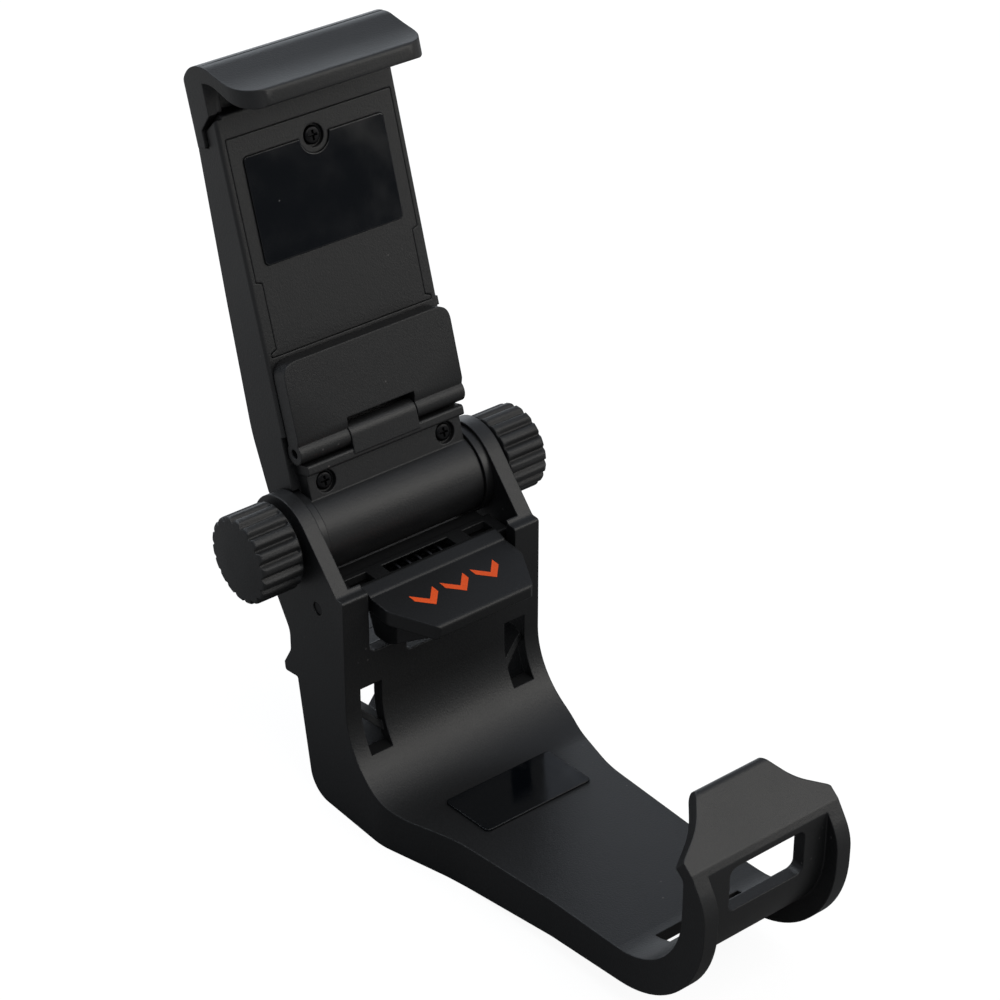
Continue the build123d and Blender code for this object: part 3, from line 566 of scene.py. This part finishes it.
def combine(thing, other, operation):
    """Boolean of two solids, kept as the first one's clean mesh; the second is deleted."""
    step = thing.modifiers.new("Combine", "BOOLEAN")
    step.object = other
    step.operation = operation
    step.solver = "EXACT"
    bpy.context.view_layer.update()
    done = thing.evaluated_get(bpy.context.evaluated_depsgraph_get())
    mesh = bpy.data.meshes.new_from_object(done)
    if not mesh.polygons:
        raise RuntimeError(f"nothing is left of {thing.name}")
    thing.modifiers.remove(step)
    speck = 0.001 * MM
    shape = bmesh.new()
    shape.from_mesh(mesh)
    bmesh.ops.remove_doubles(shape, verts=shape.verts, dist=speck)
    bmesh.ops.dissolve_degenerate(shape, edges=shape.edges, dist=speck)
    shape.to_mesh(mesh)
    shape.free()
    thing.data = mesh
    bpy.data.objects.remove(other)
    return thing


def head_reach(node):
    """Least and greatest distance up the clamp and out of it for a node's points."""
    ups = [v.co.dot(UP_THE_HEAD) for v in NODES[node].data.vertices]
    outs = [v.co.dot(OUT_OF_HEAD) for v in NODES[node].data.vertices]
    return min(ups), max(ups), min(outs), max(outs)


def replace_node(thing, node, body, finish):
    """Let a piece stand for a CAD node and ride on its body."""
    thing.data.materials.clear()
    thing.data.materials.append(finish_named(finish))
    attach(thing, body)
    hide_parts(node)


def node_tree(name, inputs):
    """Geometry tree with a Geometry socket each way and the named inputs."""
    tree = bpy.data.node_groups.new(name, "GeometryNodeTree")
    tree.interface.new_socket("Geometry", in_out="INPUT", socket_type="NodeSocketGeometry")
    for label, kind in inputs:
        tree.interface.new_socket(label, in_out="INPUT", socket_type=kind)
    tree.interface.new_socket("Geometry", in_out="OUTPUT", socket_type="NodeSocketGeometry")
    return tree, tree.nodes.new("NodeGroupInput"), tree.nodes.new("NodeGroupOutput")


def finish_tree(tree, geometry, material, put):
    """Last nodes of every tree: instances made real, and the material set."""
    real = tree.nodes.new("GeometryNodeRealizeInstances")
    tree.links.new(geometry, real.inputs[0])
    paint = tree.nodes.new("GeometryNodeSetMaterial")
    tree.links.new(real.outputs[0], paint.inputs["Geometry"])
    tree.links.new(material, paint.inputs["Material"])
    tree.links.new(paint.outputs[0], put.inputs[0])


def run_tree(thing, tree, values):
    """Run a tree on an object once, keep the result as its plain mesh, and drop the modifier."""
    modifier = thing.modifiers.new(tree.name, "NODES")
    modifier.node_group = tree
    for socket in tree.interface.items_tree:
        if socket.item_type == "SOCKET" and socket.in_out == "INPUT" and socket.name in values:
            modifier[socket.identifier] = values[socket.name]
    bpy.context.view_layer.update()
    done = thing.evaluated_get(bpy.context.evaluated_depsgraph_get())
    mesh = bpy.data.meshes.new_from_object(done)
    if not mesh.polygons:
        raise RuntimeError(f"{tree.name} made no faces for {thing.name}")
    thing.modifiers.remove(modifier)
    thing.data = mesh
    return thing


def flute_tree():
    """Sinks evenly spaced flutes into a solid of revolution about an axis along X."""
    tree, get, put = node_tree("Knob flutes", [
        ("Centre", "NodeSocketVector"), ("Flutes", "NodeSocketInt"), ("Depth", "NodeSocketFloat"),
        ("Radius", "NodeSocketFloat"), ("Start", "NodeSocketFloat"),
        ("Run out", "NodeSocketFloat"), ("Material", "NodeSocketMaterial")])

    def number(operation, first, second=None):
        node = tree.nodes.new("ShaderNodeMath")
        node.operation = operation
        for socket, value in zip(node.inputs, (first, second)):
            if isinstance(value, bpy.types.NodeSocket):
                tree.links.new(value, socket)
            elif value is not None:
                socket.default_value = value
        return node.outputs[0]

    position = tree.nodes.new("GeometryNodeInputPosition").outputs[0]
    away = tree.nodes.new("ShaderNodeVectorMath")
    away.operation = "SUBTRACT"
    tree.links.new(position, away.inputs[0])
    tree.links.new(get.outputs["Centre"], away.inputs[1])
    parts = tree.nodes.new("ShaderNodeSeparateXYZ")
    tree.links.new(away.outputs[0], parts.inputs[0])
    along, y, z = parts.outputs
    turn = number("ARCTAN2", z, y)
    distance = number("SQRT", number("ADD", number("MULTIPLY", y, y), number("MULTIPLY", z, z)))
    wave = number("COSINE", number("MULTIPLY", turn, get.outputs["Flutes"]))
    groove = number("POWER", number("ADD", number("MULTIPLY", wave, 0.5), 0.5), 2.5)
    rise = tree.nodes.new("ShaderNodeMapRange")
    rise.interpolation_type = "SMOOTHSTEP"
    tree.links.new(along, rise.inputs["Value"])
    tree.links.new(get.outputs["Start"], rise.inputs["From Min"])
    tree.links.new(number("ADD", get.outputs["Start"], get.outputs["Run out"]),
                   rise.inputs["From Max"])
    sink = number("MULTIPLY", number("MULTIPLY", groove, rise.outputs[0]), get.outputs["Depth"])
    skin = number("MINIMUM", distance, number("SUBTRACT", get.outputs["Radius"], sink))
    keep = number("DIVIDE", skin, number("MAXIMUM", distance, 1e-6))
    offset = tree.nodes.new("ShaderNodeCombineXYZ")
    tree.links.new(number("MULTIPLY", y, number("SUBTRACT", keep, 1.0)), offset.inputs[1])
    tree.links.new(number("MULTIPLY", z, number("SUBTRACT", keep, 1.0)), offset.inputs[2])
    move = tree.nodes.new("GeometryNodeSetPosition")
    tree.links.new(get.outputs["Geometry"], move.inputs["Geometry"])
    tree.links.new(offset.outputs[0], move.inputs["Offset"])
    finish_tree(tree, move.outputs[0], get.outputs["Material"], put)
    return tree


def copies_tree(name):
    """Sets a copy of a pattern object on every point of a mesh, all turned the same way."""
    tree, get, put = node_tree(name, [
        ("Pattern", "NodeSocketObject"), ("Turn", "NodeSocketRotation"),
        ("Material", "NodeSocketMaterial")])
    source = tree.nodes.new("GeometryNodeObjectInfo")
    source.inputs["As Instance"].default_value = True
    tree.links.new(get.outputs["Pattern"], source.inputs["Object"])
    place = tree.nodes.new("GeometryNodeInstanceOnPoints")
    tree.links.new(get.outputs["Geometry"], place.inputs["Points"])
    tree.links.new(source.outputs["Geometry"], place.inputs["Instance"])
    tree.links.new(get.outputs["Turn"], place.inputs["Rotation"])
    finish_tree(tree, place.outputs[0], get.outputs["Material"], put)
    return tree


def points_object(name, points):
    """Object that holds only loose points."""
    mesh = bpy.data.meshes.new(name)
    mesh.from_pydata(points, [], [])
    return mesh_object(name, mesh)


# Pieces

class CLIP_OT_mouldings(bpy.types.Operator):
    """Give every CAD part its finish; parts that a later step replaces have it as well"""
    bl_idname = "clip.mouldings"
    bl_label = "Mouldings and metal"

    def execute(self, context):
        finishes = {
            "bracket_plastic": ("base_bracket", "barrel_bracket"),
            "head_plastic": ("rear_housing", "front_cover", "top_jaw", "clamp_flap"),
            "lever_plastic": ("latch_lever",),
            "knob_plastic": ("left_knob", "right_knob"),
            "washer_plastic": ("left_washer", "right_washer"),
            "gel_pad": ("arm_pad", "grip_pad"),
            "steel": ("latch_pin", "latch_spring", "pivot_bolt", "knob_nut", "flap_pin",
                      "jaw_spring_left", "jaw_spring_right"),
            "black_steel": ("cover_screw", "flange_screws"),
        }
        for finish, nodes in finishes.items():
            for node in nodes:
                dress(node, finish)
        return {"FINISHED"}


class CLIP_OT_jaw(bpy.types.Operator):
    """Give the jaw a curved lip of even thickness with an upright front edge"""
    bl_idname = "clip.jaw"
    bl_label = "Top jaw"

    def execute(self, context):
        parts = context.scene.clip_parts
        _, top, back, front = head_reach("top_jaw")
        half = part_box("top_jaw")[1].x
        root = back + parts.lip_root
        seam = root - 1.0 * MM
        crest = root + 1.5 * MM
        ceiling = top - parts.lip_skin
        edge = top - parts.lip_drop
        under = edge - parts.lip_thickness
        nose = min(0.9 * MM, 0.3 * parts.lip_thickness)
        below, above = top - 14 * MM, top + 2 * MM
        jaw = mesh_object("jaw_with_lip", NODES["top_jaw"].data.copy())
        chin = head_solid("chin_cut", rectangle(below, above, root, front + 2 * MM),
                          SIDE_VIEW, -2 * half, 2 * half)
        combine(jaw, chin, "DIFFERENCE")
        underside = [(ceiling, seam, 0), (ceiling, root + 2.5 * MM, 2.0 * MM),
                     (under + 0.9 * MM, front - 4.5 * MM, 3.0 * MM),
                     (under, front - 0.3 * MM, nose)]
        upper_skin = [(edge, front, nose), (edge + 0.8 * MM, front - 4.8 * MM, 3.5 * MM),
                      (self.height_at(crest, top) - 0.02 * MM, crest, 1.0 * MM),
                      (self.height_at(seam, top), seam, 0)]
        lip = head_solid("lip", curved(underside + upper_skin, 8), SIDE_VIEW, -half, half)
        corner = parts.lip_corner
        plan = curved([(-half, back, 0), (half, back, 0), (half, front, corner),
                       (-half, front, corner)], 12)
        combine(lip, head_solid("lip_plan", plan, TOP_VIEW, below, above), "INTERSECT")
        combine(jaw, lip, "UNION")
        smooth(jaw, 25)
        replace_node(jaw, "top_jaw", "jaw", "head_plastic")
        return {"FINISHED"}

    def height_at(self, out, top):
        """Height of the CAD jaw's upper skin at a distance out of the clamp, found from above."""
        start = UP_THE_HEAD * (top + 5 * MM) + OUT_OF_HEAD * out + ACROSS * 3 * MM
        hit, place, _, _ = NODES["top_jaw"].ray_cast(start, -UP_THE_HEAD)
        if not hit:
            raise RuntimeError("the lip starts off the jaw")
        return place.dot(UP_THE_HEAD)


class CLIP_OT_flap(bpy.types.Operator):
    """Give the flap its rolled hinge edge with a shallow valley above the roll"""
    bl_idname = "clip.flap"
    bl_label = "Clamp flap"

    def execute(self, context):
        parts = context.scene.clip_parts
        low, high, back, front = head_reach("clamp_flap")
        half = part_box("clamp_flap")[1].x
        roll = (front - back) / 2
        up, out = low + roll, back + roll
        plate_back = back + 0.65 * MM
        valley_rise = 1.2 * MM
        bore = 0.43 * roll
        gap_top = up + 1.7 * roll
        start = acos(1 - parts.flap_valley / roll)
        finish = 2 * pi - acos((plate_back - out) / roll)
        steps = 30
        turn = [start - (start + finish) * i / steps for i in range(steps + 1)]
        outline = [(high, plate_back), (high, front), (up + roll * sin(start) + valley_rise, front)]
        outline += [(up + roll * sin(a), out + roll * cos(a)) for a in turn]
        flap = head_solid("flap_with_roll", outline, SIDE_VIEW, -half, half)
        plan = curved([(-half, low - roll, 0), (half, low - roll, 0), (half, high, parts.flap_corner),
                       (-half, high, parts.flap_corner)], 10)
        reach = (back - roll, front + roll)
        combine(flap, head_solid("flap_plan", plan, FRONT_VIEW, *reach), "INTERSECT")
        gap = rectangle(-parts.hinge_half, parts.hinge_half, low - roll, gap_top)
        combine(flap, head_solid("hinge_gap", gap, FRONT_VIEW, *reach), "DIFFERENCE")
        circle = [(up + bore * cos(pi * i / 12), out + bore * sin(pi * i / 12)) for i in range(24)]
        combine(flap, head_solid("pin_bore", circle, SIDE_VIEW, -2 * half, 2 * half), "DIFFERENCE")
        smooth(flap, 35)
        replace_node(flap, "clamp_flap", "flap", "head_plastic")
        return {"FINISHED"}


class CLIP_OT_shelf(bpy.types.Operator):
    """Carry the shelf inside the wall back to the open edge of the channel"""
    bl_idname = "clip.shelf"
    bl_label = "Inner shelf"

    def execute(self, context):
        parts = context.scene.clip_parts
        side_gap = 0.05 * MM
        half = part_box("base_bracket")[1].x - parts.wall - side_gap
        depth = parts.shelf_depth
        place = Vector((0, TILT_AXIS.y - parts.shelf_back - depth / 2, TILT_AXIS.z - parts.shelf_drop))
        size = Matrix.Diagonal((2 * half, depth, parts.shelf_thickness, 1))
        shape = bmesh.new()
        bmesh.ops.create_cube(shape, size=1)
        shelf = object_from("inner_shelf", shape)
        shelf.data.transform(Matrix.Translation(place) @ size)
        shelf.data.materials.append(finish_named("bracket_plastic"))
        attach(shelf, "base")
        return {"FINISHED"}


class CLIP_OT_knobs(bpy.types.Operator):
    """Turn the two knobs and sink their flutes"""
    bl_idname = "clip.knobs"
    bl_label = "Fluted knobs"

    def execute(self, context):
        parts = context.scene.clip_parts
        tree = flute_tree()
        for node, side, body in (("left_knob", -1, "knob_left"), ("right_knob", 1, "knob_right")):
            low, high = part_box(node)
            inner = min(abs(low.x), abs(high.x))
            outer = max(abs(low.x), abs(high.x))
            radius = (high.z - low.z) / 2
            hub = 0.62 * radius
            collar = inner + 1.0 * MM
            shoulder = collar + 0.5 * MM
            rim = outer - 0.45 * MM
            corner = 0.8 * MM
            rows = 8
            outline = [(inner, 0), (inner, hub), (collar, hub)]
            outline += rounded((collar, 0.9 * radius), (collar, radius), (shoulder, radius), 3)
            outline += [(shoulder + (rim - corner - shoulder) * i / rows, radius)
                        for i in range(1, rows + 1)]
            outline += rounded((rim - corner, radius), (rim, radius), (rim, radius - corner), 10)[1:]
            outline += rounded((rim, radius - corner), (outer, 0.5 * radius),
                               (outer, 0.25 * radius), 4)[1:]
            outline.append((outer, 0))
            shape = lathe([(side * along, r) for along, r in outline], 16 * parts.flutes)
            knob = object_from(node + "_fluted", shape)
            centre = Vector((0, TILT_AXIS.y, TILT_AXIS.z))
            knob.data.transform(Matrix.Translation(centre))
            run_tree(knob, tree, {
                "Centre": centre, "Flutes": parts.flutes, "Depth": parts.flute_depth,
                "Radius": radius, "Start": side * collar, "Run out": side * 0.6 * MM,
                "Material": finish_named("knob_plastic")})
            smooth(knob, 40)
            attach(knob, body)
            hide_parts(node)
        return {"FINISHED"}


class CLIP_OT_screws(bpy.types.Operator):
    """Set the cross-headed screws in the cover and in the flange"""
    bl_idname = "clip.screws"
    bl_label = "Screws"
    head_height = 0.85 * MM

    def pattern(self, radius):
        """One pan head on its shank, along Z, with a tapered cross sunk into it."""
        height = self.head_height
        shank, shank_length = 0.5 * radius, 4.0 * MM
        outline = [(-shank_length, 0), (-shank_length, shank), (0, shank), (0, radius)]
        outline += rounded((0.35 * height, radius), (height, radius), (height, 0.55 * radius), 6)
        outline.append((height, 0))
        head = object_from("screw_pattern", lathe(outline, 48))
        head.data.transform(Matrix.Rotation(-pi / 2, 4, "Y"))
        for turn in (0, 90):
            slot = bmesh.new()
            bmesh.ops.create_cone(slot, cap_ends=True, segments=4, radius1=0.35 * radius,
                                  radius2=0.85 * radius, depth=1.1 * MM)
            bmesh.ops.rotate(slot, matrix=Matrix.Rotation(radians(45), 3, "Z"), verts=slot.verts)
            bmesh.ops.scale(slot, vec=(1.3, 0.30, 1), verts=slot.verts)
            bmesh.ops.rotate(slot, matrix=Matrix.Rotation(radians(turn), 3, "Z"), verts=slot.verts)
            bmesh.ops.translate(slot, vec=(0, 0, height), verts=slot.verts)
            combine(head, object_from("screw_slot", slot), "DIFFERENCE")
        return smooth(head, 30)

    def execute(self, context):
        radius = context.scene.clip_parts.screw_radius
        pattern = self.pattern(radius)
        tree = copies_tree("Screws on points")
        turn = Matrix(FRONT_VIEW).transposed().to_euler()
        for name, node, places in (
                ("cover_screw_head", "cover_screw", [self.head_centre("cover_screw", 0)]),
                ("flange_screw_heads", "flange_screws",
                 [self.head_centre("flange_screws", side) for side in (-1, 1)])):
            screws = points_object(name, places)
            run_tree(screws, tree, {"Pattern": pattern, "Turn": turn,
                                    "Material": finish_named("black_steel")})
            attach(screws, "head")
            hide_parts(node)
        bpy.data.objects.remove(pattern)
        return {"FINISHED"}

    def head_centre(self, node, side):
        """Where a screw's head rests: a head's height below its highest point out of the clamp."""
        low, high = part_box(node)
        _, _, _, reach = head_reach(node)
        flat = 0.05 * MM
        tops = [v.co for v in NODES[node].data.vertices if v.co.dot(OUT_OF_HEAD) > reach - flat]
        along = sum(p.dot(UP_THE_HEAD) for p in tops) / len(tops)
        radius = bpy.context.scene.clip_parts.screw_radius
        across = side * (high.x - radius) if side else (low.x + high.x) / 2
        return OUT_OF_HEAD * (reach - self.head_height) + UP_THE_HEAD * along + ACROSS * across


class CLIP_OT_mark(bpy.types.Operator):
    """Print a row of plain arrows on the thumb plate"""
    bl_idname = "clip.mark"
    bl_label = "Thumb plate mark"

    def execute(self, context):
        parts = context.scene.clip_parts
        low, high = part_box("latch_lever")
        centre_y = low.y + parts.mark_back
        half = parts.mark_half
        weight = parts.mark_weight
        arm, point = 0.6 * half, -0.5 * half
        ink = 0.03 * MM
        shape = bmesh.new()
        outline = [(-half, arm), (0, point), (half, arm),
                   (half, arm - weight), (0, point - weight), (-half, arm - weight)]
        face = shape.faces.new([shape.verts.new((x, y, 0)) for x, y in outline])
        skin = bmesh.ops.extrude_face_region(shape, geom=[face])
        bmesh.ops.translate(shape, vec=(0, 0, ink),
                            verts=[v for v in skin["geom"] if isinstance(v, bmesh.types.BMVert)])
        pattern = object_from("mark_pattern", shape)
        plate = NODES["latch_lever"]
        places = []
        for i in range(parts.marks):
            x = (i - (parts.marks - 1) / 2) * parts.mark_pitch
            hit, place, normal, _ = plate.ray_cast((x, centre_y, high.z + 5 * MM), (0, 0, -1))
            if not hit:
                raise RuntimeError("the mark is off the thumb plate")
            places.append(place + normal * 0.01 * MM)
        mark = points_object("thumb_plate_mark", places)
        run_tree(mark, copies_tree("Marks on points"), {
            "Pattern": pattern, "Turn": Vector((0, 0, 1)).rotation_difference(normal).to_euler(),
            "Material": finish_named("mark_ink")})
        bpy.data.objects.remove(pattern)
        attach(mark, "lever")
        return {"FINISHED"}


class CLIP_OT_stage(bpy.types.Operator):
    """Set the floor, the lamps and the camera"""
    bl_idname = "clip.stage"
    bl_label = "Stage"

    def floor(self, stage):
        """Floor that the camera sees as white, with its shadow; reflections see it pale far off."""
        material, tree, shader = empty_material("floor_paint")
        shader.inputs["Base Color"].default_value = (*stage.floor, 1)
        shader.inputs["Roughness"].default_value = 0.9
        shader.inputs["Specular IOR Level"].default_value = 0.1
        place = add(tree, "ShaderNodeTexCoord").outputs["Object"]
        away = add(tree, "ShaderNodeVectorMath", operation="LENGTH", in0=place)
        near, far = 0.04, 0.30
        fade = add(tree, "ShaderNodeMapRange", value=away.outputs["Value"], from_min=near,
                   from_max=far, to_min=0.0, to_max=stage.mirror)
        self.brighten(tree, shader.inputs["Emission Strength"], stage.white, fade.outputs[0])
        shader.inputs["Emission Color"].default_value = (1, 1, 1, 1)
        shape = bmesh.new()
        bmesh.ops.create_grid(shape, x_segments=1, y_segments=1, size=6.0)
        floor = object_from("floor", shape)
        floor.data.transform(Matrix.Translation((0, 0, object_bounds()[0].z)))
        floor.data.materials.append(material)
        floor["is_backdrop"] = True

    def brighten(self, tree, socket, strength, mirror):
        """Strength for the camera and through glass, with a share of it in reflections."""
        path = add(tree, "ShaderNodeLightPath").outputs
        seen = add(tree, "ShaderNodeMath", operation="MAXIMUM",
                   in0=path["Is Camera Ray"], in1=path["Is Transmission Ray"])
        mirrored = add(tree, "ShaderNodeMath", operation="MULTIPLY",
                       in0=path["Is Glossy Ray"], in1=mirror)
        either = add(tree, "ShaderNodeMath", operation="MAXIMUM",
                     in0=seen.outputs[0], in1=mirrored.outputs[0])
        scaled = add(tree, "ShaderNodeMath", operation="MULTIPLY", in0=either.outputs[0], in1=strength)
        tree.links.new(scaled.outputs[0], socket)

    def world(self, context, stage):
        """Soft surround, brighter overhead, that the camera sees as white."""
        world = bpy.data.worlds.new("surround")
        context.scene.world = world
        world.use_nodes = True
        tree = world.node_tree
        back = next(node for node in tree.nodes if node.type == "BACKGROUND")
        place = add(tree, "ShaderNodeTexCoord").outputs["Generated"]
        height = add(tree, "ShaderNodeSeparateXYZ", vector=place).outputs["Z"]
        sky = add(tree, "ShaderNodeMapRange", value=height, from_min=0.0, from_max=0.9,
                  to_min=stage.horizon, to_max=stage.sky)
        path = add(tree, "ShaderNodeLightPath").outputs["Is Camera Ray"]
        level = add(tree, "ShaderNodeMix", data_type="FLOAT")
        for socket, value in ((level.inputs[0], path), (level.inputs[2], sky.outputs[0])):
            tree.links.new(value, socket)
        level.inputs[3].default_value = 1.0
        tint = mixed(tree, path, (0.90, 0.96, 1.08), (1.0, 1.0, 1.0))
        tree.links.new(tint, back.inputs["Color"])
        tree.links.new(level.outputs[0], back.inputs["Strength"])

    def lamp(self, name, place, aim, size, power, colour):
        """Square soft lamp that looks at a point."""
        data = bpy.data.lights.new(name, "AREA")
        data.size = size
        data.energy = power
        data.color = colour
        lamp = bpy.data.objects.new(name, data)
        lamp.location = place
        lamp.rotation_euler = (Vector(aim) - Vector(place)).to_track_quat("-Z", "Y").to_euler()
        bpy.context.scene.collection.objects.link(lamp)

    def execute(self, context):
        stage = context.scene.clip_stage
        self.floor(stage)
        self.world(context, stage)
        target = (0, 0, 0.03)
        warm, cool = (1.0, 0.97, 0.91), (0.88, 0.94, 1.0)
        self.lamp("key", (0.05, -0.35, 0.60), target, 0.5, 0.85 * stage.key, warm)
        self.lamp("fill", (0.5, -0.45, 0.35), target, 0.4, 0.6 * stage.key, warm)
        self.lamp("rim", (-0.1, 0.45, 0.5), target, 0.4, 0.75 * stage.key, cool)
        self.lamp("skim", (0.30, 0.60, 0.17), (0, 0, 0.12), 0.35, 0.28 * stage.key, cool)
        data = bpy.data.cameras.new("camera")
        data.lens = stage.lens
        data.sensor_width = 36
        data.clip_start = 0.01
        camera = bpy.data.objects.new("camera", data)
        camera.location = (-0.26056, -0.32082, 0.32257)
        camera.rotation_euler = (radians(57.559), 0, radians(-38.637))
        context.scene.collection.objects.link(camera)
        context.scene.camera = camera
        context.scene.view_settings.view_transform = "Standard"
        return {"FINISHED"}


STEPS = (CLIP_OT_mouldings, CLIP_OT_jaw, CLIP_OT_flap, CLIP_OT_shelf,
         CLIP_OT_knobs, CLIP_OT_screws, CLIP_OT_mark, CLIP_OT_stage)
GROUPS = (("clip_finish", ClipFinish), ("clip_parts", ClipParts), ("clip_stage", ClipStage))


class CLIP_PT_panel(bpy.types.Panel):
    """Sizes, colours and build steps of the phone clip"""
    bl_idname = "CLIP_PT_panel"
    bl_label = "Phone clip"
    bl_space_type = "VIEW_3D"
    bl_region_type = "UI"
    bl_category = "Phone clip"

    def draw(self, context):
        for name, kind in GROUPS:
            box = self.layout.box()
            for label in kind.__annotations__:
                box.prop(getattr(context.scene, name), label)
        for step in STEPS:
            self.layout.operator(step.bl_idname)


def register():
    """Add the classes and their settings to Blender."""
    for name, kind in GROUPS:
        bpy.utils.register_class(kind)
        setattr(bpy.types.Scene, name, PointerProperty(type=kind))
    for kind in (*STEPS, CLIP_PT_panel):
        bpy.utils.register_class(kind)


def unregister():
    """Take the classes and their settings out again."""
    for kind in (CLIP_PT_panel, *reversed(STEPS)):
        bpy.utils.unregister_class(kind)
    for name, kind in reversed(GROUPS):
        delattr(bpy.types.Scene, name)
        bpy.utils.unregister_class(kind)


def main():
    """Build everything round the frame."""
    register()
    for step in STEPS:
        group, name = step.bl_idname.split(".")
        getattr(getattr(bpy.ops, group), name)()


if __name__ == "__main__":
    main()
